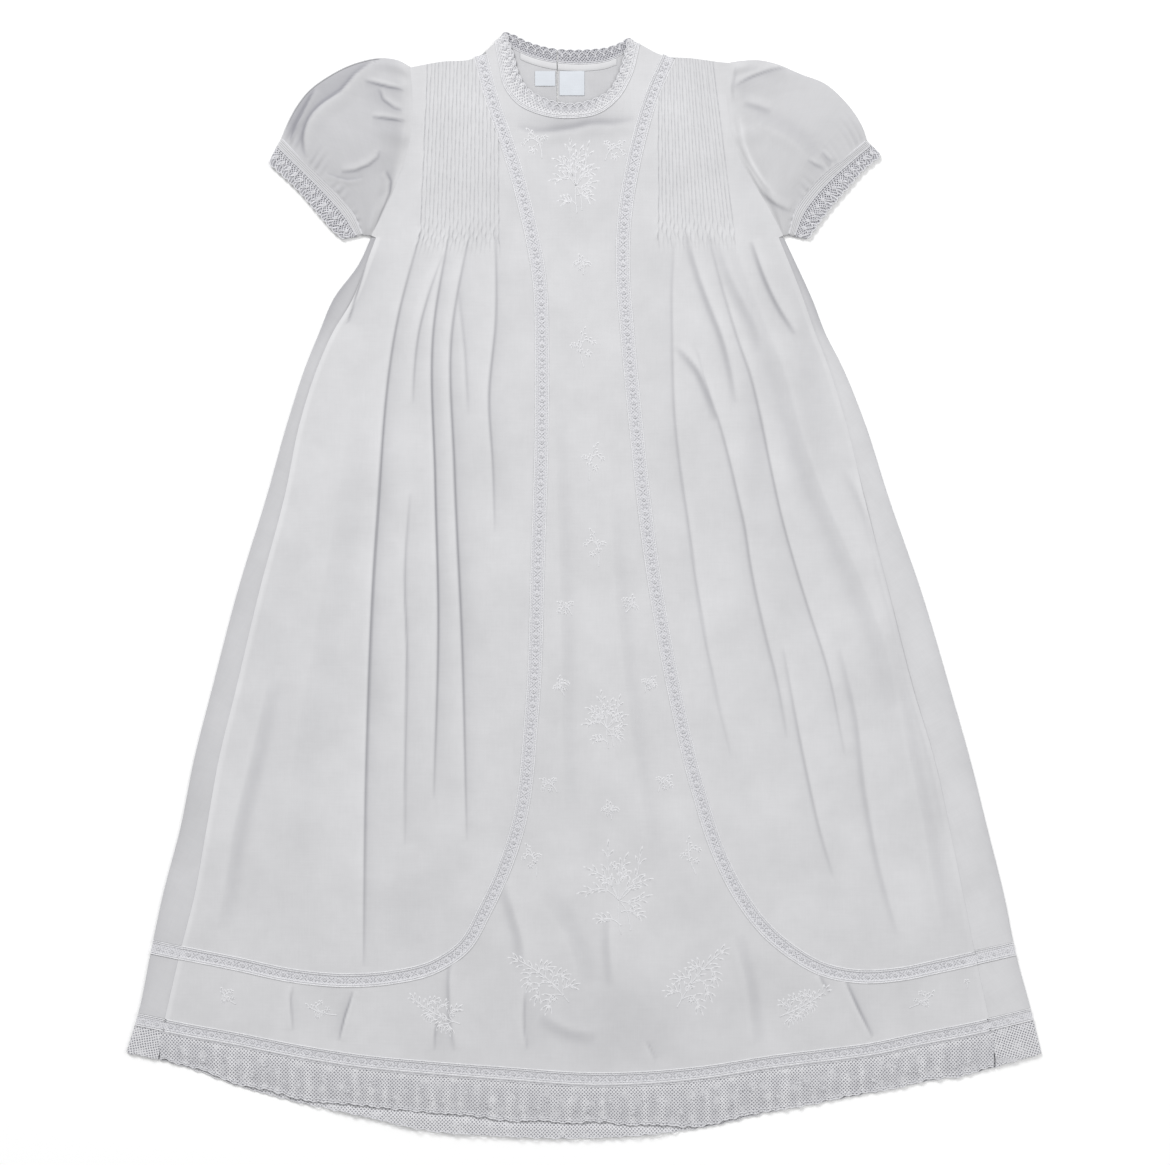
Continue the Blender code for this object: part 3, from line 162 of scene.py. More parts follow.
# Lines of the front, as (x, y) from the upper or left end
LEFT_INSERTION = [
    (-67.5, 347), (-59.5, 316), (-48.4, 283.7), (-37.7, 245.5), (-28.3, 196),
    (-27, 157.6), (-27, 108), (-29.6, 17), (-33.5, -82), (-44, -162),
    (-64, -211), (-78.3, -235), (-96.5, -247.3), (-125, -254.5), (-149, -256.4),
    (-186, -253.8), (-226.5, -245.4), (-279, -235),
]
RIGHT_INSERTION = [
    (56, 344), (45.2, 320), (32.8, 276), (26.3, 234), (25.6, 205), (28.3, 167),
    (34, 105), (44.5, 14), (57.5, -60.8), (76.4, -139.4), (88, -174), (101, -200),
    (118, -223), (135.5, -238), (155, -249), (178.4, -253.8), (204.4, -252.5),
    (230.4, -247.3), (280, -236),
]
LEFT_SHOULDER = [(-112, 336.5), (-93.3, 340), (-69.2, 343), (-56.6, 353.4)]
RIGHT_SHOULDER = [(36.6, 351.6), (51, 344.4), (71.8, 342.2), (86, 340.2), (95.6, 339.2)]
LEFT_ARMHOLE = [
    (-112.4, 337), (-110.8, 320), (-111, 302.6), (-114, 283), (-122, 260),
    (-130, 242), (-137.6, 226.9),
]
RIGHT_ARMHOLE = [
    (95.6, 340), (92.4, 324), (94, 306.5), (99.8, 280.5), (109, 263),
    (118.5, 247.5), (129.5, 226.9),
]
FRONT_NECK = [
    (-57.4, 353.6), (-54.6, 338), (-51.5, 324), (-42.5, 312.6), (-27.6, 305.8),
    (-5.5, 303.8), (9, 306.4), (22.3, 316.5), (30.5, 330), (36.4, 352),
]
FRONT_NECK_LACE_EDGE = [
    (-50.6, 358.8), (-46, 345), (-42.6, 332.5), (-36, 322), (-25.7, 316),
    (-5, 312.6), (7.5, 315.6), (17.2, 321.4), (22.8, 331), (29.4, 354.8),
]
BACK_NECK = [
    (-55.6, 354.4), (-47.5, 350), (-37.4, 344.8), (-25, 341), (-10, 339),
    (4, 339), (16.5, 341), (27, 346.4), (34.6, 352.4),
]
BACK_NECK_LACE_EDGE = [
    (-52, 359.4), (-46, 357.6), (-37.4, 353.3), (-25, 349.4), (-10, 347.6),
    (4, 347.8), (16.5, 349.4), (24, 352.2), (30.2, 355.9),
]

# Sleeves: the lines that bound each one, from the shoulder side to the underarm side
LEFT_SLEEVE_TOP = [
    (-113, 336.9), (-120, 341), (-130, 343), (-147, 340.3), (-166.7, 331),
    (-179.7, 321), (-187.5, 310.4), (-193.4, 298.5), (-196.4, 290.6),
]
LEFT_CUFF = [
    (-196.4, 290.6), (-180.8, 274.6), (-168.3, 262.6), (-156.7, 250.8), (-148.6, 240),
    (-143.6, 227.4),
]
LEFT_CUFF_EDGE = [
    (-204.6, 275.8), (-183.4, 255.8), (-170, 240.2), (-160.4, 229.6), (-154.4, 224.6),
]
RIGHT_SLEEVE_TOP = [
    (96.3, 339.9), (104, 341), (115.4, 341.3), (125.8, 339), (141.4, 332.5),
    (157.6, 326), (169.3, 315.6), (176.5, 306.5), (181.4, 297.6), (184, 289.2),
]
RIGHT_CUFF = [
    (184, 289.2), (168.6, 276.9), (156.8, 267.6), (146, 256.2), (137.6, 244),
    (133.2, 227.4),
]
RIGHT_CUFF_EDGE = [
    (193.2, 280.3), (182, 271), (171.3, 258.8), (161.4, 247.6), (151.4, 234.5),
    (144.4, 224.6),
]

# Lines that the columns of the side panels follow, below the pin tucks
LEFT_FLOW = {
    0: [(-106.3, 228), (-121.2, 176), (-135.5, 37), (-142, -110), (-144, -256)],
    7: [(-87.6, 228), (-98.5, 167), (-97.5, 67), (-95.5, -20), (-98.5, -139), (-100, -256)],
    12: [(-74.3, 228), (-86.8, 163), (-85, 75), (-80, -40), (-77, -166), (-76, -256)],
    18: [(-58.3, 228), (-58.2, 171), (-62.7, 121), (-60, 78), (-58.8, 35), (-58, -256)],
    19: [(-55.6, 228), (-52.5, 171), (-53.5, 121), (-52, 50), (-52, -60), (-53, -256)],
}
RIGHT_FLOW = {
    0: [(48.4, 230), (50, 180), (52.5, 120), (62, 14), (74, -60), (95, -139), (110, -256)],
    2: [(53.5, 230), (58, 178), (60.5, 134), (68, 60), (80, -10), (104, -113), (120, -256)],
    8: [(68.9, 230), (77, 143), (97.8, 63), (116, -50), (134.2, -133), (146, -256)],
    19: [(97.2, 230), (107, 134), (129.7, 45), (150.5, -30), (171.3, -123), (187, -256)],
}
Tucks = namedtuple("Tucks", "first last first_lean last_lean top release")
LEFT_TUCKS = Tucks(-106.3, -55.6, 5.1, 0, 345, 228)
RIGHT_TUCKS = Tucks(48.4, 97.2, 0, -14.3, 345, 230)

# Pleats and creases: places down each one, its height, how far it falls away towards its
# left and its right, and how dark the painted shade at its foot is (below 0, a painted highlight)
Fold = namedtuple("Fold", "spots height left right dark")
LEFT_FOLDS = [
    Fold([(-106.3, 232), (-121.2, 176), (-135.5, 37), (-142, -110),
          (-144, -248)], 1.05, 1.5, 13, 0.74),
    Fold([(-87.8, 232), (-98.5, 167), (-97.5, 67), (-95.5, -20),
          (-98.5, -139)], 0.95, 1.5, 8, 0.68),
    Fold([(-74.8, 232), (-86.8, 163), (-85, 75), (-80, -40), (-77, -166)], 0.9, 1.5, 12, 0.63),
    Fold([(-58.3, 231), (-58.2, 171), (-62.7, 121), (-60, 78), (-58.8, 35)], 0.56, 1.5, 10, 0.48),
    Fold([(-114, 60), (-117.3, 8), (-116, -43), (-117, -105), (-117.3, -169)], 0.56, 1.6, 9, 0.4),
    Fold([(-150, 120), (-163, 40), (-176, -40), (-188, -110), (-196, -180)], 0.3, 16, 18, 0.05),
    Fold([(-205, -60), (-216, -110), (-226, -150), (-233, -190), (-238, -222)], 0.5, 9, 10, 0.16),
    Fold([(-138.6, 226), (-142, 212), (-146.5, 196), (-151, 182),
          (-154.5, 170)], 0.74, 1.5, 7, 0.8),
    Fold([(-82, 190), (-80, 170), (-78, 150), (-77, 130), (-76, 112)], 0.43, 1.6, 6, 0.24),
    Fold([(-92.5, 216), (-101.5, 190), (-108, 165), (-111, 140), (-112, 118)], 0.5, 1.5, 5, 0.4),
]
RIGHT_FOLDS = [
    Fold([(81.2, 231), (93.3, 186), (103, 155), (109, 138), (115, 114), (122, 80), (130.4, 42),
          (137.9, 15), (148.1, -18), (159, -52), (171, -110)], 0.95, 9, 1.7, 0.3),
    Fold([(68, 231), (76, 202), (84.1, 180), (91.5, 161), (97.1, 139),
          (100.8, 118)], 0.75, 7, 4, 0.28),
    Fold([(74.8, 154), (83.2, 125), (90.6, 102), (96.2, 81), (101.8, 57), (106, 38),
          (109.5, 15), (113.5, -6), (119, -30), (127, -62), (134, -100)], 0.85, 8, 2.2, 0.28),
    Fold([(60.8, 231), (58.8, 190), (59, 160), (60.9, 106), (64.6, 73), (69.8, 38), (74.8, 0),
          (80.9, -36), (90, -80), (98, -112)], 0.65, 8, 2, 0.26),
    Fold([(94.6, 230), (108, 196), (119, 168), (130, 141), (141.2, 101), (150.9, 73),
          (160.3, 50), (171.5, 25), (183.2, -2), (195, -35), (206, -80)], 1.3, 13, 12, 0.12),
    Fold([(86.2, 230), (97.5, 198), (106.4, 181), (113, 168), (116.5, 152)], 0.6, 7, 6, 0.14),
    Fold([(172, 75), (185, 48), (195, 22), (203, 0), (212, -40)], 0.7, 9, 5, 0.14),
    Fold([(110.5, 224), (119, 200), (127, 183), (139, 164)], 0.7, 8, 3, 0.4),
    Fold([(168, -40), (177.8, -82), (185, -138), (194, -185), (206, -228)], 0.75, 10, 4, 0.18),
    Fold([(131, -40), (139, -85), (147, -125), (155, -160), (164, -190)], 0.7, 8, 2.2, 0.24),
    Fold([(203, -60), (211, -110), (219, -150), (226, -190), (233, -225)], 0.6, 8, 9, 0.1),
    Fold([(61, 157), (68.5, 149), (75, 141), (81.5, 127), (88, 108)], 0.6, 6, 4, 0.3),
    Fold([(185, 20), (199, -25), (211, -70), (222, -115), (231, -160)], 0.7, 9, 10, 0.1),
]
CENTRE_FOLDS = [
    Fold([(-44, 296), (-32, 292.8), (-18, 293.8), (-4, 296), (5, 298.2), (20, 298.4),
          (34, 300.5)], 0.7, 4, 9, 0.3),
    Fold([(-50, -192), (-46.5, -205), (-42, -219), (-38.5, -234), (-37.5, -250)], 0.6, 9, 6, 0.2),
    Fold([(-30, -200), (-21, -213), (-12, -228), (-6, -243), (-2, -260)], 0.45, 11, 13, 0.1),
    Fold([(-95, -276), (-96.5, -281), (-97, -287), (-98, -294), (-98, -302)], 0.56, 1.5, 5, 0.33),
    Fold([(-38.5, -262), (-39.5, -272), (-40, -282), (-39, -292),
          (-37.5, -302)], 0.5, 1.5, 5, 0.29),
    Fold([(18, -214), (17.6, -224), (17.8, -234), (18.6, -246), (20, -260)], 0.45, 8, 5, 0.15),
    Fold([(40, -296), (42, -301), (44, -305), (46.5, -309)], 0.43, 1.5, 4, 0.26),
    Fold([(-26, -277), (-17, -284), (-5, -288.5), (9, -290)], 0.4, 8, 7, 0.15),
    Fold([(-20, 120), (-17, 40), (-15, -40), (-14, -100), (-12, -160)], 0.37, 8, 9, 0.07),
    Fold([(16, 60), (20, 0), (26, -60), (34, -120), (44, -180)], 0.37, 8, 8, 0.07),
    Fold([(-84, -241), (-86, -252), (-86, -268), (-85, -285), (-82, -302)], 0.62, 7, 2.5, 0.26),
    Fold([(-148.5, -263.5), (-151, -272), (-154, -281), (-156, -289),
          (-157.5, -296)], 0.68, 4, 1.5, 0.59),
    Fold([(-190, -260), (-191.5, -268), (-191, -275), (-190.5, -282),
          (-190, -289)], 0.5, 1.5, 6, 0.33),
    Fold([(168.5, -256), (172, -264), (177, -275), (182, -285), (186.5, -294)], 0.75, 2, 7, 0.5),
    Fold([(151.5, -253), (154, -258), (156.5, -262), (158.5, -266)], 0.5, 2, 5, 0.3),
    Fold([(96, -228), (102, -246), (106, -264), (108, -282), (110, -298)], 0.5, 7, 7, 0.13),
]
LEFT_SLEEVE_FOLDS = [
    Fold([(-137, 339), (-147.7, 331), (-156.7, 320.3), (-167.4, 313.1), (-174.5, 306.6),
          (-179, 298.8), (-180.8, 289.8), (-179.4, 278.2)], 1.24, 12, 2.2, 0.5),
    Fold([(-173.6, 322), (-180.8, 308.6), (-187.9, 293.4), (-189.3, 288.1)], 0.74, 4, 1.5, 0.68),
    Fold([(-141.4, 328.7), (-129.8, 325.6), (-116.4, 322.9)], 0.62, 4, 1.5, 0.68),
    Fold([(-131.6, 322.9), (-128.9, 315.8), (-122.7, 311.3), (-117.3, 309.5)], 0.56, 4, 1.5, 0.52),
    Fold([(-137, 305), (-127.1, 304.1), (-115.5, 302.8)], 0.56, 4, 1.5, 0.6),
    Fold([(-133.4, 282.7), (-134.3, 278.2), (-139.6, 273.8), (-147.7, 270.2),
          (-157.5, 269.3)], 0.68, 1.5, 5, 0.45),
    Fold([(-167.4, 266.6), (-153.1, 262.1), (-142.4, 263.9)], 0.5, 1.5, 4, 0.3),
    Fold([(-129.4, 268.4), (-126.2, 262.1), (-127.1, 254.1), (-131.6, 243.4),
          (-137, 230)], 0.87, 1.6, 6, 0.75),
]
RIGHT_SLEEVE_FOLDS = [
    Fold([(97.2, 324.7), (105, 329.5), (113.4, 333.1), (122, 336),
          (131.6, 337.7)], 0.74, 5, 1.5, 0.49),
    Fold([(104.3, 314.9), (113, 312.5), (122.5, 309.1)], 0.56, 6, 4, 0.21),
    Fold([(97.8, 282.4), (106.3, 271.4), (118, 254.5), (126, 248),
          (134.9, 244.1)], 0.95, 6, 2.2, 0.36),
    Fold([(145.9, 277.2), (151, 274), (157, 271.4)], 0.5, 3, 1.5, 0.35),
    Fold([(155.7, 282.4), (159, 278.5), (162.8, 275.3)], 0.5, 3, 1.5, 0.35),
    Fold([(110, 300), (122, 296), (136, 288), (148, 276)], 0.5, 9, 9, 0.14),
    Fold([(100, 306), (101.5, 292), (106, 278), (114, 264), (123, 252)], 0.9, 2.5, 3, -0.45),
    Fold([(97, 338), (96.4, 332), (94.8, 324), (95.4, 314)], 0.5, 2, 4, 0.5),
]

# Broad soft shades of the front, where the cloth lies a little away from the light
Shade = namedtuple("Shade", "x y wide tall dark")
SHADES = [
    Shade(10, -288, 85, 34, 0.12),
    Shade(147, 140, 13, 62, 0.13),
    Shade(112, 92, 8, 46, 0.12),
    Shade(-10, 300, 34, 7, 0.14),
    Shade(-205, -40, 24, 120, 0.06),
    Shade(-112, -215, 26, 44, 0.08),
    Shade(205, -30, 10, 70, 0.1),
    Shade(-120, 286, 10, 46, 0.1),
    Shade(-5, 285, 42, 50, 0.08),
    Shade(108, 286, 10, 46, 0.1),
]

# Gather waves of the hem lace
FRONT_LACE_WAVES = 56
BACK_LACE_WAVES = 32
WAVE_HEIGHT = 1.3
LACE_LEFT = -284.0
LACE_RIGHT = 276.0
PEEK_LEFT = -196.0
PEEK_RIGHT = 72.0
LACE_Y = -300.0
SEAM_FADE = 16.0
LACE_SINK = 0.8

# Sleeves: height of the puff, gathers at cap and cuff, and corded ridges of the band
PUFF_HEIGHT = 3.2
CAP_GATHERS = 7
CUFF_GATHERS = 17
CUFF_RIDGES = 4

# Labels inside the back neck, both left bare of words
Label = namedtuple("Label", "name left right bottom top")
LABELS = [
    Label("label_left", -31.5, -18.4, 324.6, 334.2),
    Label("label_right", -15.6, 0.6, 318.4, 334.2),
]


def eased(amount):
    """An S curve from 0 to 1, level at both ends."""
    amount = np.clip(amount, 0.0, 1.0)
    return amount * amount * (3 - 2 * amount)


def smooth(spots, step=2.0):
    """A line through the spots: one cubic a stretch, with slopes from its neighbours."""
    spots = np.array(spots, float)
    lengths = np.linalg.norm(np.diff(spots, axis=0), axis=1)
    slopes = np.gradient(spots, np.concatenate([[0.0], np.cumsum(lengths)]), axis=0)
    line = [spots[:1]]
    for k, length in enumerate(lengths):
        count = max(1, round(length / step))
        t = (np.arange(1, count + 1) / count)[:, None]
        line.append(
            (2 * t**3 - 3 * t**2 + 1) * spots[k] + (t**3 - 2 * t**2 + t) * length * slopes[k]
            + (3 * t**2 - 2 * t**3) * spots[k + 1] + (t**3 - t**2) * length * slopes[k + 1]
        )
    return np.concatenate(line)


def lengths_along(line):
    return np.concatenate([[0.0], np.cumsum(np.linalg.norm(np.diff(line, axis=0), axis=1))])


def at_lengths(line, wanted):
    """Points at wanted distances along a line."""
    places = lengths_along(line)
    return np.stack([np.interp(wanted, places, line[:, k]) for k in range(line.shape[1])], axis=1)


def resampled(line, count):
    return at_lengths(line, np.linspace(0.0, lengths_along(line)[-1], count))


def shortened(line, reach, count):
    """The line cut short by reach at both ends, with count even points."""
    return at_lengths(line, np.linspace(reach, lengths_along(line)[-1] - reach, count))


def left_of(line):
    """Unit directions that point to the left of a line at each of its points."""
    along = np.gradient(line, axis=0)
    along = along / np.linalg.norm(along, axis=1)[:, None]
    return np.stack([-along[:, 1], along[:, 0]], axis=1)


def beside(line, distance):
    return line + left_of(line) * distance


def extended(line, reach=6.0):
    """The line with both ends carried straight on."""
    first = line[0] - line[1]
    last = line[-1] - line[-2]
    first = line[0] + first / np.linalg.norm(first) * reach
    last = line[-1] + last / np.linalg.norm(last) * reach
    return np.concatenate([[first], line, [last]])


def column(table, key, value):
    """A smooth function that gives one column of a table at any place along another."""
    spots = smooth([(getattr(row, key), getattr(row, value)) for row in table])
    spots = spots[np.argsort(spots[:, 0])]
    return lambda place: np.interp(place, spots[:, 0], spots[:, 1])


def x_of(line):
    """A function that gives a line's x at any height y, held level past its ends."""
    order = np.argsort(line[:, 1])
    return lambda y: np.interp(y, line[order, 1], line[order, 0])


def crossing(first, second):
    """Places along two lines where they cross, and the point, nearest the first line's end."""
    run = np.diff(first, axis=0)[:, None]
    other = np.diff(second, axis=0)[None]
    away = second[None, :-1] - first[:-1, None]
    turn = run[..., 0] * other[..., 1] - run[..., 1] * other[..., 0]
    turn = np.where(np.abs(turn) < 1e-9, np.inf, turn)
    along = (away[..., 0] * other[..., 1] - away[..., 1] * other[..., 0]) / turn
    across = (away[..., 0] * run[..., 1] - away[..., 1] * run[..., 0]) / turn
    met = (along >= 0) & (along <= 1) & (across >= 0) & (across <= 1)
    i, j = np.argwhere(met)[-1]
    return i + along[i, j], j + across[i, j], first[i] + along[i, j] * run[i, 0]


def outline_of(*lines):
    """The closed outline along each line in turn, from its crossing with the line before."""
    corners = [crossing(line, lines[(k + 1) % len(lines)]) for k, line in enumerate(lines)]
    outline = []
    for k, line in enumerate(lines):
        start, stop = corners[k - 1][1], corners[k][0]
        kept = [i for i in range(len(line)) if start < i < stop]
        outline += [corners[k - 1][2][None], line[kept]]
    return np.concatenate(outline)


def inside(outline, points):
    """Which points lie within an outline, by counting the edges to their right."""
    after = np.roll(outline, -1, axis=0)
    rise = np.where(after[:, 1] == outline[:, 1], 1.0, after[:, 1] - outline[:, 1])
    slope = (after[:, 0] - outline[:, 0]) / rise
    found = []
    for part in np.array_split(points, max(1, len(points) // 8000)):
        x, y = part[:, :1], part[:, 1:]
        rising = (outline[:, 1] > y) != (after[:, 1] > y)
        found.append(np.sum(rising & (x < outline[:, 0] + (y - outline[:, 1]) * slope), axis=1) % 2)
    return np.concatenate(found) == 1


def distance_to(line, points):
    """For each point its distance from a line, its place along it from 0 to 1, and its side."""
    starts = line[:-1]
    runs = np.diff(line, axis=0)
    away = points[:, None, :] - starts[None]
    part = np.clip(np.sum(away * runs, axis=2) / np.sum(runs * runs, axis=1), 0.0, 1.0)
    gaps = away - part[:, :, None] * runs
    reach = np.linalg.norm(gaps, axis=2)
    near = np.argmin(reach, axis=1)
    row = np.arange(len(points))
    side = runs[near, 0] * gaps[row, near, 1] - runs[near, 1] * gaps[row, near, 0]
    places = lengths_along(line)
    place = (places[near] + part[row, near] * (places[near + 1] - places[near])) / places[-1]
    return reach[row, near], place, np.sign(side)


def folded(points, folds):
    """Height and painted shade of pleats and creases at flat points.

    A fold's height is greatest on its line, falls on each side along an S curve over that
    side's width, and dies away at both ends. Painted shade darkens the foot of its steep side
    and, more faintly, the ground beyond, and a painted highlight lightens its gentle side beside
    the line; a negative dark paints the highlight at the foot instead.
    """
    height = np.zeros(len(points))
    shade = np.zeros(len(points))
    for fold in folds:
        crest = smooth(fold.spots, 6.0)
        reach, place, side = distance_to(crest, points)
        ends = np.sin(math.pi * np.clip(place, 0, 1)) ** 0.45
        width = np.where(side > 0, fold.left, fold.right)
        height = np.maximum(height, fold.height * ends * (1 - eased(reach / width)))
        steep = min(fold.left, fold.right)
        on_steep = side > 0 if fold.left <= fold.right else side <= 0
        lee = on_steep * (1 - np.exp(-reach**2))
        foot = 1.15 * np.exp(-((reach - steep * 0.7) / (steep * 0.5 + 0.25)) ** 2) * lee
        far = 0.5 * np.exp(-reach / 6.0) * lee
        lit = 0.6 * np.exp(-reach / 2.2) * ~on_steep * (1 - np.exp(-2 * reach**2))
        shade = shade + fold.dark * ends * (foot + far - lit)
    return height, shade


def rumple(x, y):
    """Soft uneven lumps of cloth that has been pressed and laid down: a sum of slow waves."""
    return (
        0.09 * np.sin(x / 11.0 + 1.7 * np.sin(y / 37.0)) * np.sin(y / 53.0 + 0.6)
        + 0.07 * np.sin(y / 19.0 + 1.3 * np.sin(x / 23.0) + 2.0)
        + 0.05 * np.sin((x + y) / 8.0 + np.sin(y / 15.0))
    )


def linear(code):
    """An sRGB hex colour as linear red, green, blue and alpha."""
    parts = [int(code[k:k + 2], 16) / 255 for k in (1, 3, 5)]
    return (*[p / 12.92 if p <= 0.04045 else ((p + 0.055) / 1.055) ** 2.4 for p in parts], 1.0)


def add_node(tree, kind, values=None, links=None, **settings):
    """One shader node with its settings, its socket values and the outputs that feed it."""
    node = tree.nodes.new(kind)
    for name, value in settings.items():
        setattr(node, name, value)
    for socket, value in (values or {}).items():
        node.inputs[socket].default_value = value
    for socket, source in (links or {}).items():
        tree.links.new(source, node.inputs[socket])
    return node


def new_material(name, roughness, sheen=0.0):
    """A material with its tree, its shader, and the piece's own cloth coordinates.

    The attribute cloth holds millimetres along and across the cloth, and a tone of painted
    light and shade from -1, lit through doubled cloth or a painted highlight, to 1, the painted
    shade at the foot of a deep fold.
    """
    material = bpy.data.materials.new(name)
    material.use_nodes = True
    tree = material.node_tree
    shader = tree.nodes["Principled BSDF"]
    shader.inputs["Roughness"].default_value = roughness
    shader.inputs["Sheen Weight"].default_value = sheen
    shader.inputs["Sheen Roughness"].default_value = 0.5
    shader.inputs["Specular IOR Level"].default_value = 0.25
    attribute = add_node(tree, "ShaderNodeAttribute", attribute_name="cloth")
    parts = add_node(tree, "ShaderNodeSeparateXYZ", links={0: attribute.outputs["Vector"]})
    return material, tree, shader, parts


def toned(tree, parts, light, middle, dark):
    """Colour by the cloth's tone of painted light and shade, from light through middle to dark."""
    tone = add_node(tree, "ShaderNodeMapRange", {"From Min": -1.0, "From Max": 1.0},
                    {"Value": parts.outputs["Z"]})
    ramp = add_node(tree, "ShaderNodeValToRGB", links={0: tone.outputs[0]})
    ramp.color_ramp.elements[0].color = linear(light)
    ramp.color_ramp.elements[1].color = linear(dark)
    ramp.color_ramp.elements.new(0.5).color = linear(middle)
    return ramp.outputs["Color"]


def woven(tree, parts, colour, depth, amount):
    """Slubs of plain weave on a colour: noise drawn out along the warp and along the weft.

    Real threads are 0.2 mm apart, too fine to show, so slubs are 1.1 mm wide and 16 mm long.
    """
    place = add_node(tree, "ShaderNodeCombineXYZ",
                     links={0: parts.outputs["X"], 1: parts.outputs["Y"]})
    slubs = []
    for stretch in ((0.9, 0.06, 1.0), (0.06, 0.9, 1.0)):
        turned = add_node(tree, "ShaderNodeMapping", {"Scale": stretch}, {0: place.outputs[0]})
        noise = add_node(tree, "ShaderNodeTexNoise",
                         {"Scale": 1.0, "Detail": 3.0, "Roughness": 0.6},
                         {"Vector": turned.outputs[0]})
        slubs.append(noise.outputs[0])
    broad = add_node(tree, "ShaderNodeTexNoise", {"Scale": 0.018, "Detail": 4.0, "Roughness": 0.65},
                     {"Vector": place.outputs[0]})
    both = add_node(tree, "ShaderNodeMath", links={0: slubs[0], 1: slubs[1]}, operation="ADD")
    mottled = add_node(tree, "ShaderNodeMapRange",
                      {"From Min": 0.3, "From Max": 0.7, "To Min": 0.93, "To Max": 1.05},
                      {"Value": broad.outputs[0]})
    colour = add_node(tree, "ShaderNodeVectorMath", links={0: colour, 1: mottled.outputs[0]},
                      operation="MULTIPLY").outputs[0]
    limits = {"From Min": 0.7, "From Max": 1.3, "To Min": 1 - amount, "To Max": 1 + amount}
    spread = add_node(tree, "ShaderNodeMapRange", limits, {"Value": both.outputs[0]})
    mixed = add_node(tree, "ShaderNodeVectorMath", links={0: colour, 1: spread.outputs[0]},
                     operation="MULTIPLY")
    bump = add_node(tree, "ShaderNodeBump", {"Strength": 0.35, "Distance": depth * MM},
                    {"Height": both.outputs[0]})
    return mixed.outputs[0], bump.outputs[0]


def batiste_material(name, light, middle, dark):
    """Cotton batiste, plain woven and pressed: matt, with faint slubs and a soft sheen."""
    material, tree, shader, parts = new_material(name, 0.82, 0.12)
    colour = toned(tree, parts, light, middle, dark)
    colour, normal = woven(tree, parts, colour, 0.1, 0.018)
    tree.links.new(colour, shader.inputs["Base Color"])
    tree.links.new(normal, shader.inputs["Normal"])
    return material


def net_material(name, pitch, thread, light, dark, hole, cover, patches):
    """Cotton net, machine made: crossed threads round diamond cells, light over a hole of painted
    shade.

    A point is on a thread where its distance along either diagonal from the nearest thread
    is under half a thread. A cell has the colour hole, a painted shade for what lies beneath it,
    as solid as cover says, from 0 to 1. The threads grey with the piece's painted tone.
    Where patches isn't 0, that many spots a millimetre are partly filled with worked thread.
    The real cells, of about 1.5 mm, are drawn larger, to show.
    """
    material, tree, shader, parts = new_material(name, 0.85, 0.1)
    place = add_node(tree, "ShaderNodeCombineXYZ",
                     links={0: parts.outputs["X"], 1: parts.outputs["Y"]})
    drift = add_node(tree, "ShaderNodeTexNoise", {"Scale": 0.35, "Detail": 2.0},
                     {"Vector": place.outputs[0]})
    across = add_node(tree, "ShaderNodeMath", {1: 1.6},
                      {0: drift.outputs[0], 2: parts.outputs["X"]}, operation="MULTIPLY_ADD")
    on_thread = []
    for operation in ("ADD", "SUBTRACT"):
        way = add_node(tree, "ShaderNodeMath", links={0: across.outputs[0], 1: parts.outputs["Y"]},
                       operation=operation)
        scaled = add_node(tree, "ShaderNodeMath", {1: 1.0 / pitch}, {0: way.outputs[0]},
                          operation="MULTIPLY")
        swing = add_node(tree, "ShaderNodeMath", {1: 0.5}, {0: scaled.outputs[0]},
                         operation="PINGPONG")
        near = add_node(tree, "ShaderNodeMath", {1: thread / pitch / 2}, {0: swing.outputs[0]},
                        operation="LESS_THAN")
        on_thread.append(near.outputs[0])
    net = add_node(tree, "ShaderNodeMath", links={0: on_thread[0], 1: on_thread[1]},
                   operation="MAXIMUM")
    if patches:
        worked = add_node(tree, "ShaderNodeTexVoronoi", {"Scale": patches},
                          {"Vector": place.outputs[0]}, voronoi_dimensions="2D")
        ragged = add_node(tree, "ShaderNodeTexNoise", {"Scale": 0.9, "Detail": 2.0},
                          {"Vector": place.outputs[0]})
        reach = add_node(tree, "ShaderNodeMath", {1: 1.5},
                         {0: ragged.outputs[0], 2: worked.outputs[0]}, operation="MULTIPLY_ADD")
        within = add_node(tree, "ShaderNodeMath", {1: 0.9}, {0: reach.outputs[0]},
                          operation="LESS_THAN")
        filled = add_node(tree, "ShaderNodeMath", {1: 0.72}, {0: within.outputs[0]},
                          operation="MULTIPLY")
        net = add_node(tree, "ShaderNodeMath", links={0: net.outputs[0], 1: filled.outputs[0]},
                       operation="MAXIMUM")
    solid = add_node(tree, "ShaderNodeMath", {1: cover}, {0: net.outputs[0]}, operation="MAXIMUM")
    threads = toned(tree, parts, light, light, dark)
    colour = add_node(tree, "ShaderNodeMix", {6: linear(hole)}, {0: net.outputs[0], 7: threads},
                      data_type="RGBA")
    tree.links.new(colour.outputs[2], shader.inputs["Base Color"])
    tree.links.new(solid.outputs[0], shader.inputs["Alpha"])
    return material


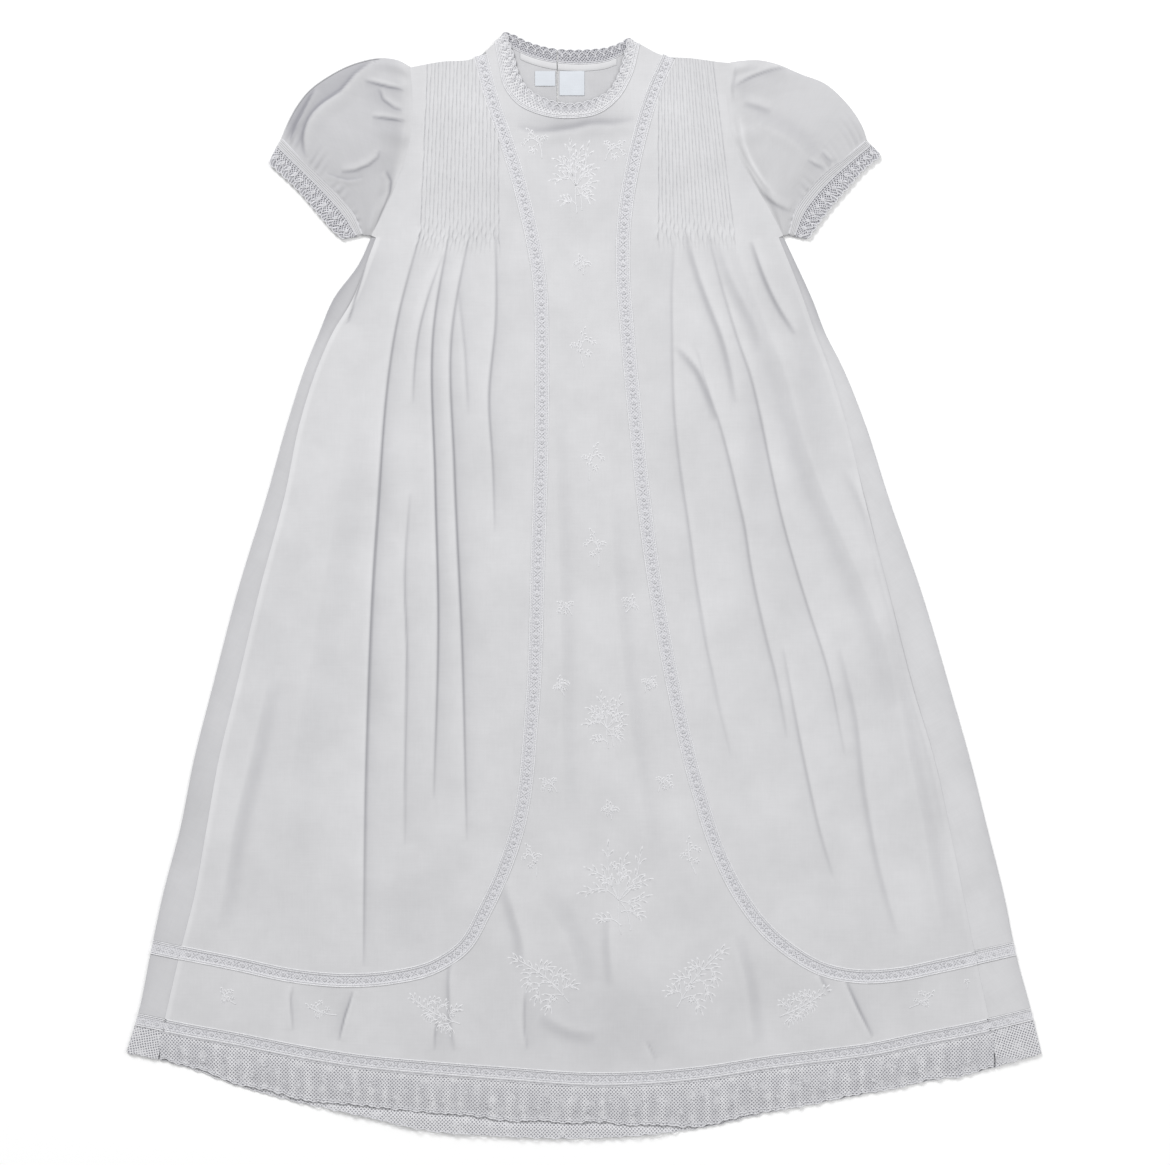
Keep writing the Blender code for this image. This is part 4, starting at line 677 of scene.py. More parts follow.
def thread_material(name, colour, dark, roughness, sheen):
    """Cotton thread, worked close: a fine, uneven grain, under the gloss that is given."""
    material, tree, shader, _ = new_material(name, roughness, sheen)
    place = add_node(tree, "ShaderNodeTexCoord")
    noise = add_node(tree, "ShaderNodeTexNoise", {"Scale": 1400.0, "Detail": 2.0},
                     {"Vector": place.outputs["Object"]})
    ramp = add_node(tree, "ShaderNodeValToRGB", links={0: noise.outputs[0]})
    ramp.color_ramp.elements[0].position = 0.3
    ramp.color_ramp.elements[0].color = linear(dark)
    ramp.color_ramp.elements[1].position = 0.65
    ramp.color_ramp.elements[1].color = linear(colour)
    bump = add_node(tree, "ShaderNodeBump", {"Strength": 0.3, "Distance": 0.08 * MM},
                    {"Height": noise.outputs[0]})
    tree.links.new(ramp.outputs[0], shader.inputs["Base Color"])
    tree.links.new(bump.outputs[0], shader.inputs["Normal"])
    return material


# Cotton batiste, pressed: matt and even, a cool white that painted shade greys softly down each
# fold, lighter where doubled cloth or a painted highlight lies
BATISTE = batiste_material("cotton_batiste_pressed", "#DADADC", "#C8C8CA", "#84848A")
# The same cloth puffed up: painted a little greyer as shade, as it turns away from the light
SHADED_SLEEVE_BATISTE = batiste_material("cotton_batiste_puffed_painted_shade", "#D2D2D4", "#BFBFC1", "#8E8E94")
# Corded cotton band: a little painted light on its ridges and painted shade in the grooves
# between them
BAND = batiste_material("cotton_band_corded", "#D8D8DA", "#C6C6C8", "#8C8C90")
# Gathered hem net, doubled: pale threads round cells painted mid grey, as the shaded net beneath
NET = net_material("cotton_net_hem", 2.3, 0.95, "#E0E0E2", "#ABABB0", "#8A8A90", 0.9, 0.085)
# The same net in the back, single: its cells are painted grey as shade, and a little white of
# the floor shows through them
BACK_NET = net_material(
    "cotton_net_back_hem", 2.3, 0.95, "#E0E0E2", "#AEAEB3", "#8C8C92", 0.82, 0.085)
# Insertion net, finer and over cloth: a faint grain, cells painted as the shaded cloth beneath,
# hardly darker than the batiste
INSERTION_NET = net_material(
    "cotton_net_insertion", 2.0, 0.85, "#D1D1D4", "#BEBEC2", "#B6B6BB", 1.0, 0.0)
# Neck net over the front's edge: cells painted grey as shade make a soft grey grain that sets off
# its worked rings
NECK_NET = net_material("cotton_net_neck", 2.3, 1.0, "#D6D6D8", "#B8B8BC", "#B2B2B6", 0.85, 0.0)
# Edging net of the cuffs and back neck: open cells painted dark as shade, the deepest grey of the
# gown
EDGING_NET = net_material(
    "cotton_net_edging", 2.0, 0.85, "#D4D4D8", "#9E9EA4", "#5C5C62", 0.75, 0.0)
# Mercerised cord: the whitest line on the gown, with a low gloss
THREAD = thread_material("cotton_thread_mercerised", "#E0E0E2", "#D0D0D3", 0.6, 0.2)
# Lace thread: softer and duller than the cord
DULL_THREAD = thread_material("cotton_thread_lace", "#D6D6D9", "#C2C2C6", 0.75, 0.1)
# Stranded floss, satin stitched: a bright raised white on the matt cloth
FLOSS = thread_material("cotton_floss_satin_stitched", "#D9D9DB", "#CFCFD2", 0.6, 0.2)
# Tape of the labels: as matt as the batiste, and slightly blue
SATIN = batiste_material("satin_tape_woven", "#D2D6DC", "#CCD0D6", "#A9BBD0")


def add_mesh(name, points, faces, cloth, material, slot, sharp=40):
    """One piece from points in millimetres, arrays of faces, and each point's cloth values."""
    mesh = bpy.data.meshes.new(name)
    polygons = [face for group in faces for face in group.tolist()]
    mesh.from_pydata((points * MM).tolist(), [], polygons)
    if cloth is not None:
        layer = mesh.attributes.new("cloth", "FLOAT_VECTOR", "POINT")
        layer.data.foreach_set("vector", np.asarray(cloth, np.float32).ravel())
    mesh.shade_smooth()
    mesh.set_sharp_from_angle(angle=math.radians(sharp))
    mesh.materials.append(material)
    piece = bpy.data.objects.new(name, mesh)
    bpy.context.scene.collection.objects.link(piece)
    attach(piece, "root")
    return piece


def declare(name):
    """Hides the part of model.glb that a cloth piece stands for."""
    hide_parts(name)


def grid_faces(rows, columns, start=0, around=False):
    """Four-sided faces of a grid of points counted row by row."""
    last = columns if around else columns - 1
    row, place = np.meshgrid(np.arange(rows - 1), np.arange(last), indexing="ij")
    after = (place + 1) % columns
    faces = np.stack([row * columns + place, row * columns + after,
                      (row + 1) * columns + after, (row + 1) * columns + place], axis=-1)
    return faces.reshape(-1, 4) + start


def welded(points, cloth, quads):
    """Points at one place made one, and collapsed four-sided faces made three-sided or dropped."""
    _, first, index = np.unique(np.round(points, 4), axis=0, return_index=True, return_inverse=True)
    quads = index.reshape(-1)[quads]
    repeats = quads == np.roll(quads, -1, axis=1)
    crossed = (quads[:, 0] == quads[:, 2]) | (quads[:, 1] == quads[:, 3])
    whole = quads[~repeats.any(axis=1) & ~crossed]
    once = repeats.sum(axis=1) == 1
    corners = [np.delete(quads[once & repeats[:, k]], k, axis=1) for k in range(4)]
    corners = np.concatenate(corners)
    corners = corners[corners[:, 0] != corners[:, 2]]
    return points[first], cloth[first], [whole, corners]


def with_rim(points, cloth, faces, wall):
    """The sheet's free edges carried straight down by the thickness of the turned hem."""
    pairs = np.concatenate([
        np.stack([group[:, k], np.roll(group, -1, axis=1)[:, k]], axis=1)
        for group in faces for k in range(group.shape[1])
    ])
    key = pairs.min(axis=1) * len(points) + pairs.max(axis=1)
    _, first, uses = np.unique(key, return_index=True, return_counts=True)
    free = pairs[first[uses == 1]]
    edge = np.unique(free)
    lower = np.full(len(points), -1)
    lower[edge] = len(points) + np.arange(len(edge))
    rim = np.stack([free[:, 1], free[:, 0], lower[free[:, 0]], lower[free[:, 1]]], axis=1)
    points = np.concatenate([points, points[edge] - (0, 0, wall)])
    return points, np.concatenate([cloth, cloth[edge]]), [*faces, rim]


def area_of(grid):
    """Area of a grid's surface in square metres: two triangles a face."""
    a = grid[:-1, :-1]
    b = grid[:-1, 1:]
    c = grid[1:, 1:]
    d = grid[1:, :-1]
    one = np.linalg.norm(np.cross(b - a, c - a), axis=-1)
    two = np.linalg.norm(np.cross(c - a, d - a), axis=-1)
    return float((one + two).sum()) / 2 * MM * MM


def facing(grid, faces, way):
    """The faces turned over where most of a grid faces down, or up where way is -1."""
    a, b, d = grid[:-1, :-1], grid[:-1, 1:], grid[1:, :-1]
    rising = np.cross(b - a, d - a)[..., 2].sum()
    return faces if rising * way > 0 else faces[:, ::-1]


def add_sheet(name, grids, material, wall=0.0, trims=(), way=1):
    """A cloth sheet from grids of points and their cloth values, outside up, or down for -1."""
    points, quads, cloth = [], [], []
    count = 0
    for grid, values in grids:
        quads.append(facing(grid, grid_faces(*grid.shape[:2], count), way))
        points.append(grid.reshape(-1, 3))
        cloth.append(values.reshape(-1, 3))
        count += grid.shape[0] * grid.shape[1]
    cloth = np.concatenate(cloth)
    points, values, faces = welded(np.concatenate(points), cloth, np.concatenate(quads))
    if wall:
        points, values, faces = with_rim(points, values, faces, wall)
    piece = add_mesh(f"{name}_cloth", points, faces, values, material, name)
    area = sum(area_of(grid) for grid, _ in grids)
    declare(name)


def panel(guides, counts, levels, outline):
    """Flat points of a panel: columns between guide lines, rows at levels, cut at the outline.

    A column keeps the same share of the way from one guide to the next at every height. Rows
    past the column's top or bottom, found by halving, collapse onto its end.
    """
    shares = np.concatenate([[0.0]] + [k + np.arange(1, n + 1) / n for k, n in enumerate(counts)])
    first = np.minimum(shares.astype(int), len(guides) - 2)
    part = shares - first

    def across(y):
        spread = np.stack([guide(y) for guide in guides])
        index = np.broadcast_to(first, y.shape)[None]
        near = np.take_along_axis(spread, index, axis=0)[0]
        return near + (np.take_along_axis(spread, index + 1, axis=0)[0] - near) * part

    low, high = outline[:, 1].min(), outline[:, 1].max()
    heights = np.linspace(low, high, 320)[:, None] * np.ones(len(shares))
    spots = np.stack([across(heights).ravel(), heights.ravel()], axis=1)
    within = inside(outline, spots).reshape(heights.shape)
    column = np.arange(len(shares))
    last = len(heights) - 1 - np.argmax(within[::-1], axis=0)
    ends = []
    for index, step in ((last, 1), (np.argmax(within, axis=0), -1)):
        good = heights[index, column]
        bad = good + step * (high - low) / 319
        for _ in range(10):
            middle = (good + bad) / 2
            kept = inside(outline, np.stack([across(middle[None])[0], middle], axis=1))
            good = np.where(kept, middle, good)
            bad = np.where(kept, bad, middle)
        ends.append(good)
    y = np.clip(levels[:, None], ends[1], ends[0])
    return np.stack([across(y), y], axis=2)[:, within.any(axis=0)]


def skirted(line, seam):
    """A guide that follows an armhole line, and below the underarm the side seam."""
    upper = x_of(line)
    return lambda y: np.where(y > SKIRT[0].y, upper(y), seam(y))


def upright(x):
    return lambda y: np.full_like(y, x)


def moved(guide, shift):
    return lambda y: guide(y) + shift


LEFT_FOLD = column(SKIRT, "y", "left_fold")
LEFT_SEAM = column(SKIRT, "y", "left_seam")
RIGHT_FOLD = column(SKIRT, "y", "right_fold")
RIGHT_SEAM = column(SKIRT, "y", "right_seam")
INSERTION_TOP = column(HEM, "x", "insertion_top")
FRONT_LACE_EDGE = column(HEM, "x", "front_lace_edge")
BACK_LACE_EDGE = column(HEM, "x", "back_lace_edge")
UNDERARM_Y = SKIRT[0].y
LEFT_LINE = smooth(LEFT_INSERTION)
RIGHT_LINE = smooth(RIGHT_INSERTION)
HALF = INSERTION_WIDTH / 2


def seam_line(side):
    """The front's edge at a side seam, from above the underarm to below the hem."""
    y = np.concatenate([[UNDERARM_Y + 6], np.linspace(UNDERARM_Y, -368.0, 200)])
    x = LEFT_SEAM(y) if side < 0 else RIGHT_SEAM(y)
    return np.column_stack([x - side * INSIDE, y])


def underarm(side, shift):
    y = UNDERARM_Y + shift
    fold = LEFT_FOLD(y) if side < 0 else RIGHT_FOLD(y)
    seam = LEFT_SEAM(y) if side < 0 else RIGHT_SEAM(y)
    return np.array([(fold + side * 6, y), (seam - side * 6, y)])


def at_seams(points, shade):
    """Doubled cloth at a side seam shows lighter, for 3 mm on each side of it."""
    y = points[:, 1]
    left = np.abs(points[:, 0] - LEFT_SEAM(y))
    right = np.abs(points[:, 0] - RIGHT_SEAM(y))
    below = y < UNDERARM_Y
    light = SEAM_LIGHT_LEFT * (1 - eased((left - 1.9) / 2.4))
    light = light + SEAM_LIGHT_RIGHT * (1 - eased((right - 1.9) / 2.4))
    return shade - light * below


def laid_on_front(flat, folds):
    """A grid on the front layer, with its folds, seams and soft lumps, and its cloth values."""
    points = flat.reshape(-1, 2)
    height, shade = folded(points, folds)
    height = height + rumple(points[:, 0], points[:, 1]) * 0.6
    shade = at_seams(points, shade)
    for place in SHADES:
        away = (points - (place.x, place.y)) / (place.wide, place.tall)
        shade = shade + place.dark * np.exp(-np.sum(away**2, axis=1))
    shape = flat.shape[:2]
    grid = np.dstack([flat, (FRONT_TOP + height).reshape(shape)])
    cloth = np.dstack([flat, shade.reshape(shape)])
    return grid, cloth


def tuck_x(block, number, flow):
    """A guide down one pin tuck: leaning while stitched, then along its pleat's flow line."""
    part = number / (TUCKS - 1)
    release_x = block.first + (block.last - block.first) * part
    lean = block.first_lean + (block.last_lean - block.first_lean) * part
    keys = sorted(flow)
    tables = {key: x_of(smooth(flow[key])) for key in keys}
    below = np.searchsorted(keys, number, side="right") - 1
    low = keys[min(below, len(keys) - 2)]
    high = keys[min(below, len(keys) - 2) + 1]
    share = (number - low) / (high - low)
    own = lambda y: tables[low](y) * (1 - share) + tables[high](y) * share
    offset = release_x - float(own(np.array(block.release)))

    def guide(y):
        stitched = release_x + lean * (y - block.release) / (block.top - block.release)
        loose = own(y) + offset * eased((y - block.release + 60) / 60)
        return np.where(y > block.release, stitched, loose)

    return guide


def side_panel(name, block, flow, folds, outline, outer, inner, turned):
    """A front side panel: pin tucks from the shoulder, released into pleats.

    Each tuck is a shingle: it rises over TUCK_SLOPE to its edge and drops over TUCK_DROP. It
    fades out over TUCK_RELEASE below its stitching. The first and last stand out most.
    Painted shade darkens the foot of each drop, and a painted highlight lightens each rise.
    """
    guides = [tuck_x(block, number, flow) for number in range(TUCKS)]
    before = moved(guides[0], -2.5)
    after = moved(guides[-1], 2.5)
    counts = [4] + [6] * (TUCKS - 1) + [4]
    if turned:
        lines = [outer, before, *guides, after, inner]
        counts = [64, *counts, 16]
    else:
        lines = [inner, before, *guides, after, outer]
        counts = [14, *counts, 84]
    levels = np.concatenate([np.linspace(346.0, 205.5, TUCK_ROWS),
                             np.linspace(204.0, -258.0, PLEAT_ROWS)])
    flat = panel(lines, counts, levels, outline)
    grid, cloth = laid_on_front(flat, folds)
    x, y = flat[..., 0], flat[..., 1]
    crests = np.stack([guide(y) for guide in guides])
    crests = crests + 0.18 * np.sin(y / 3.1 + crests * 1.7) + 0.14 * np.sin(y / 9.0 + crests)
    kinked = np.exp(-((y - block.release - 1) / 9.0) ** 2)
    crests = crests + 0.42 * kinked * np.sin(y / 1.45 + crests * 0.9)
    fade = eased((y - (block.release - TUCK_RELEASE)) / TUCK_RELEASE)
    away = x[None] - crests
    strength = np.full(TUCKS, 0.8)
    strength[[0, -1]] = 1.0
    strength = strength[:, None, None]
    rise = np.where(away <= 0, 1 + away / TUCK_SLOPE, 1 - away / TUCK_DROP)
    height = (np.clip(rise, 0.0, 1.0) * strength).max(axis=0)
    # Where painted shade falls: just below the drop of each tuck
    dark = (np.exp(-((away - TUCK_DROP) / 0.4) ** 2) * strength).max(axis=0)
    uneven = 0.7 + 0.3 * np.sin(y / 0.9 + x) * np.sin(y / 7.0 + x / 1.7)
    pucker = np.sin(y / 2.2 + 0.9 * x) * np.exp(-((y - block.release + 3) / 8.0) ** 2)
    grid[..., 2] += (TUCK_HEIGHT * height + 0.2 * pucker * height) * fade
    # Painted shade at each tuck's foot, uneven along it, less a painted highlight on its rise
    shade = TUCK_SHADE * uneven * dark - 0.3 * TUCK_SHADE * height + 0.16 * pucker * dark
    cloth[..., 2] += shade * fade
    add_sheet(name, [(grid, cloth)], BATISTE, wall=CLOTH)


def make_front():
    """The three front panels, cut at the insertions, side seams, armholes and shoulders."""
    left_shoulder = extended(smooth(LEFT_SHOULDER))
    right_shoulder = extended(smooth(RIGHT_SHOULDER))
    left_arm = extended(beside(smooth(LEFT_ARMHOLE), -0.35))
    right_arm = extended(beside(smooth(RIGHT_ARMHOLE), 0.35))
    neck = extended(beside(smooth(FRONT_NECK), UNDERLAP))

    edge = extended(beside(LEFT_LINE, -HALF + UNDERLAP))
    outline = outline_of(left_shoulder[::-1], left_arm, underarm(-1, GAP), seam_line(-1),
                         edge[::-1])
    kept = edge[(edge[:, 0] > -62) & (edge[:, 1] > -90)]
    side_panel("front_side_left", LEFT_TUCKS, LEFT_FLOW, LEFT_FOLDS, outline,
               moved(skirted(left_arm, lambda y: LEFT_SEAM(y) + INSIDE), INSIDE),
               moved(x_of(kept), -INSIDE), True)

    edge = extended(beside(RIGHT_LINE, HALF - UNDERLAP))
    outline = outline_of(right_shoulder, right_arm, underarm(1, GAP), seam_line(1), edge[::-1])
    kept = edge[edge[:, 0] < 100]
    side_panel("front_side_right", RIGHT_TUCKS, RIGHT_FLOW, RIGHT_FOLDS, outline,
               moved(skirted(right_arm, lambda y: RIGHT_SEAM(y) - INSIDE), -INSIDE),
               moved(x_of(kept), INSIDE), False)

    inner_left = extended(beside(LEFT_LINE, HALF - UNDERLAP))
    inner_right = extended(beside(RIGHT_LINE, -HALF + UNDERLAP))
    level = np.array([(-90.0, SPLIT_Y), (130.0, SPLIT_Y)])
    centre = outline_of(neck[::-1], left_shoulder[::-1], inner_left, level, inner_right[::-1],
                        right_shoulder[::-1])
    guides = [moved(x_of(inner_left[inner_left[:, 1] > SPLIT_Y - 7]), INSIDE),
              moved(x_of(inner_right[inner_right[:, 1] > SPLIT_Y - 7]), -INSIDE)]
    flat = panel(guides, [110], np.linspace(356.0, SPLIT_Y, 380), centre)
    flat[-1, :, 1] = SPLIT_Y
    upper = laid_on_front(flat, CENTRE_FOLDS)

    split_x = flat[-1, :, 0]
    x = np.concatenate([np.linspace(-276.0, split_x[0], 200)[:-1], split_x,
                        np.linspace(split_x[-1], 268.0, 160)[1:]])
    curves = []
    for line, outer in ((inner_left, inner_left[:, 0] < -40),
                        (inner_right, inner_right[:, 0] > 60)):
        curve = line[outer & (line[:, 1] < SPLIT_Y + 12)]
        curves.append(curve[np.argsort(curve[:, 0])])
    top = np.where(x < split_x[0], np.interp(x, *curves[0].T), SPLIT_Y)
    top = np.where(x > split_x[-1], np.interp(x, *curves[1].T), top)
    y = top + (INSERTION_TOP(x) - UNDERLAP - top) * np.linspace(0.0, 1.0, 48)[:, None]
    across = np.clip(x[None] * np.ones_like(y), LEFT_SEAM(y) + INSIDE, RIGHT_SEAM(y) - INSIDE)
    lower = laid_on_front(np.dstack([across, y]), CENTRE_FOLDS)
    add_sheet("front_center", [upper, lower], BATISTE, wall=CLOTH, trims=make_embroidery())


def tube_along(line, radius, heights, sides=8):
    """A round cord along a flat line at given heights: a circle carried along the path."""
    out = left_of(line)
    turn = np.arange(sides) / sides * 2 * math.pi
    across = np.cos(turn)[None, :, None] * out[:, None, :] * radius
    flat = line[:, None, :] + across
    z = np.asarray(heights)[:, None] + np.sin(turn)[None] * radius
    return np.dstack([flat, z])


def add_joined(name, tubes, material, slot):
    """One piece from many tubes, each a grid whose columns close on themselves, faces out."""
    points, faces = [], []
    count = 0
    for grid in tubes:
        rows, columns = grid.shape[:2]
        found = grid_faces(rows, columns, count, True)
        middle = grid[rows // 2]
        out = middle[0] - middle.mean(axis=0)
        facing_out = np.cross(middle[1] - middle[0], grid[rows // 2 + 1, 0] - middle[0]) @ out > 0
        faces.append(found if facing_out else found[:, ::-1])
        points.append(grid.reshape(-1, 3))
        count += rows * columns
    return add_mesh(name, np.concatenate(points), [np.concatenate(faces)], None, material, slot, 60)


def heading(angle):
    """Unit directions at angles."""
    return np.stack([np.cos(angle), np.sin(angle)], axis=-1)


def copied(template, spots, height, angle, long, wide, tall):
    """Copies of one small template, each turned, scaled and set down at its spot.

    Each value but the spots is one number for every copy, or one number for each.
    """
    shape, faces = template
    height, angle, long, wide, tall = (
        np.broadcast_to(np.asarray(value, float), len(spots))[:, None]
        for value in (height, angle, long, wide, tall))
    u = shape[:, 0] * long
    v = shape[:, 1] * wide
    points = np.stack([
        spots[:, :1] + u * np.cos(angle) - v * np.sin(angle),
        spots[:, 1:] + u * np.sin(angle) + v * np.cos(angle),
        height + shape[:, 2] * tall,
    ], axis=2).reshape(-1, 3)
    steps = np.arange(len(spots))[:, None, None] * len(shape)
    return points, (faces + steps).reshape(-1, faces.shape[1])


def dome_template(sides=8, rings=3):
    """A low dome 2 by 2 by 1: circles that shrink and rise along a quarter circle."""
    rise = np.linspace(0.0, math.pi / 2 * 0.92, rings)
    turn = np.arange(sides) / sides * 2 * math.pi
    points = np.stack([
        (np.cos(rise)[:, None] * np.cos(turn)).ravel(),
        (np.cos(rise)[:, None] * np.sin(turn)).ravel(),
        (np.sin(rise)[:, None] * np.ones(sides)).ravel(),
    ], axis=1)
    faces = grid_faces(rings, sides, 0, True)
    points = np.concatenate([points, [(0.0, 0.0, 1.0)]])
    last = (rings - 1) * sides
    cap = np.stack([last + np.arange(sides), last + (np.arange(sides) + 1) % sides,
                    np.full(sides, len(points) - 1), np.full(sides, len(points) - 1)], axis=1)
    return points, np.concatenate([faces, cap])


def leaf_template(sides=10):
    """A satin-stitched leaf: pointed at both ends, with a ridge along its middle."""
    turn = np.arange(sides) / sides * 2 * math.pi
    width = np.sin(turn) * np.abs(np.sin(turn)) ** 0.35
    rim = np.stack([np.cos(turn), width, np.zeros(sides)], axis=1)
    ring = rim * (0.72, 0.6, 1.0) + (0.0, 0.0, 0.75)
    points = np.concatenate([rim, ring, [(0.45, 0.0, 1.0), (-0.45, 0.0, 1.0)]])
    side = np.arange(sides)
    hub = np.where(np.cos((turn + turn + 2 * math.pi / sides) / 2) > 0, 2 * sides, 2 * sides + 1)
    top = np.stack([sides + side, sides + (side + 1) % sides, hub, hub], axis=1)
    return points, np.concatenate([grid_faces(2, sides, 0, True), top])


def ring_template(sides=10, tube=6, thick=0.28):
    """A small worked ring: a circle carried round a circle."""
    turn = np.arange(sides) / sides * 2 * math.pi
    bend = np.arange(tube) / tube * 2 * math.pi
    reach = 1.0 - thick + thick * np.cos(bend)[None]
    points = np.stack([
        (reach * np.cos(turn)[:, None]).ravel(),
        (reach * np.sin(turn)[:, None]).ravel(),
        (np.sin(bend)[None] * np.ones((sides, 1)) + 0.6).ravel(),
    ], axis=1)
    faces = grid_faces(sides, tube, 0, True)
    last = (sides - 1) * tube
    k = np.arange(tube)
    close = np.stack([last + k, last + (k + 1) % tube, (k + 1) % tube, k], axis=1)
    return points, np.concatenate([faces, close])[:, ::-1]


def merged(parts):
    """Points and faces of several sets of copies as one."""
    points, faces = [], []
    count = 0
    for some_points, some_faces in parts:
        points.append(some_points)
        faces.append(some_faces + count)
        count += len(some_points)
    return np.concatenate(points), np.concatenate(faces)


def add_copies(name, parts, material, slot):
    points, faces = merged(parts)
    repeats = faces[:, 2] == faces[:, 3]
    return add_mesh(name, points, [faces[~repeats], faces[repeats, :3]], None, material, slot, 60)


LEAF = leaf_template()
DOME = dome_template()
RING = ring_template()


def insertion_trim(name, line, half, base, slot, dots=True):
    """Corded edges, hemstitched bars and worked dots of one lace insertion, as pieces.

    Two cords run along each edge, with short bars between them every 1.6 mm. Every 9 mm a dot
    with a ring round it sits on the centre line, and four small leaves sit between two dots.
    """
    length = lengths_along(line)[-1]
    fine = resampled(line, int(length / 1.5))
    tubes = []
    for side in (-1, 1):
        for reach, radius in ((half - 0.3, 0.36), (half - 1.5, 0.24)):
            path = beside(fine, side * reach)
            tubes.append(tube_along(path, radius, np.full(len(path), base + 0.2), 6))
    trims = [add_joined(f"{name}_cords", tubes, THREAD, slot)]

    places = np.arange(0.8, length, 1.6)
    spots = at_lengths(line, places)
    even = resampled(line, 800)
    sides = at_lengths(np.column_stack([even, left_of(even)]), places)[:, 2:]
    angle = np.arctan2(sides[:, 1], sides[:, 0])
    bars = [copied(DOME, spots + sides * side * (half - 0.9), base + 0.05, angle, 0.62, 0.3, 0.25)
            for side in (-1, 1)]
    trims.append(add_copies(f"{name}_bars", bars, DULL_THREAD, slot))
    if not dots:
        return trims

    places = np.arange(DOT_PITCH / 2, length, DOT_PITCH)
    spots = at_lengths(line, places)
    worked = [copied(RING, spots, base + 0.05, 0, 1.35, 1.35, 0.25),
              copied(DOME, spots, base + 0.05, 0, 0.5, 0.5, 0.3)]
    halfway = at_lengths(line, places[:-1] + DOT_PITCH / 2)
    step = np.diff(spots, axis=0)
    turn = np.arctan2(step[:, 1], step[:, 0])
    for lean in (0.75, -0.75, math.pi + 0.75, math.pi - 0.75):
        worked.append(copied(LEAF, halfway + 1.5 * heading(turn + lean), base - 0.05, turn + lean,
                             1.25, 0.4, 0.25))
    trims.append(add_copies(f"{name}_dots", worked, DULL_THREAD, slot))
    return trims


def add_insertion(name, line, half, rail_width, columns):
    """One insertion: a strip of net along a line, lower between its rails, with its trims.

    The cloth's first coordinate runs along the strip and its second across it.
    """
    trims = insertion_trim(name, line, half, FRONT_TOP, name)
    line = resampled(line, int(lengths_along(line)[-1] / 1.6) + 2)
    reach = np.linspace(-half, half, columns)
    flat = line[None] + left_of(line)[None] * reach[:, None, None]
    along = lengths_along(line)[None] * np.ones((columns, 1))
    across = reach[:, None] * np.ones(len(line))
    z = FRONT_TOP - 0.25 + RAIL * eased((np.abs(across) - half + rail_width) / 1.2)
    add_sheet(name, [(np.dstack([flat, z]), np.dstack([along, across, np.zeros_like(along)]))],
              INSERTION_NET, trims=trims)


def make_insertions():
    """Lace insertions: a net ground between corded edges, with worked dots."""
    for name, line, side in (("insertion_left", LEFT_LINE, -1), ("insertion_right", RIGHT_LINE, 1)):
        shoulder = extended(smooth(LEFT_SHOULDER if side < 0 else RIGHT_SHOULDER))
        top = crossing(extended(line), shoulder)[2]
        last, _, end = crossing(line, seam_line(side))
        kept = line[:int(last) + 1]
        kept = kept[kept[:, 1] < top[1]]
        add_insertion(name, np.concatenate([[top], kept, [end]]), HALF, 2.2, 13)

    x = np.linspace(LEFT_SEAM(-285.0) + 0.3, RIGHT_SEAM(-285.0) - 0.3, 300)
    half = HEM_INSERTION_WIDTH / 2
    line = np.column_stack([x, INSERTION_TOP(x) - half])
    add_insertion("front_hem_insertion", line, half, 2.0, 11)


def uneven_places(first, last, count):
    """Places between two ends whose spacing swells and shrinks like hand gathers."""
    steps = np.arange(count + 1)
    places = np.cumsum(1 + 0.35 * np.sin(1.9 * steps) * np.cos(0.37 * steps))
    return first + (last - first) * (places - places[0]) / (places[-1] - places[0])


def wave_height(x, places):
    """Gather waves: every second place is a crest and the others are hollows, rounded."""
    crests = np.arange(len(places)) % 2
    tall = 0.75 + 0.25 * np.sin(0.7 * np.arange(len(places)))
    return WAVE_HEIGHT * eased(np.interp(x, places, crests * tall))


def frilled(x):
    """A small uneven frill of the lace's free edge, in millimetres."""
    broad = 0.5 * np.sin(x / 1.9) * np.sin(x / 23.0 + 1.0)
    return broad + 0.35 * np.sin(x / 0.95 + np.sin(x / 7.0))


def front_lace_surface(x, down, waves):
    """Point and tone of the front hem lace at x and a share of the way down.

    Its gathers rise over the top two thirds and are lowest at the side seams. Its free edge
    sinks onto the back's lace, and painted shade makes its hollows darker than its crests.
    """
    top = INSERTION_TOP(x) - HEM_INSERTION_WIDTH - GAP
    bottom = FRONT_LACE_EDGE(x) + frilled(x) + 0.7 * np.sin(x / 8.0 + 2.0 * np.sin(x / 41.0))
    from_seams = eased((x - LEFT_SEAM(LACE_Y)) / SEAM_FADE)
    from_seams = from_seams * eased((RIGHT_SEAM(LACE_Y) - x) / SEAM_FADE)
    raised = wave_height(x, waves) * eased(down * 1.5) * from_seams
    sunk = eased((down - 0.5) / 0.5) * from_seams
    drift = 0.8 * np.sin(x / 9.0) * down
    # Painted shade in the hollows of the gathers, lightest on their crests
    tone = 0.375 * (1 - raised / WAVE_HEIGHT) * eased(down * 3) + 0.12
    z = FRONT_TOP - 0.3 + raised * (1 - 0.4 * sunk) - LACE_SINK * sunk
    return x + drift, top + (bottom - top) * down, z, tone


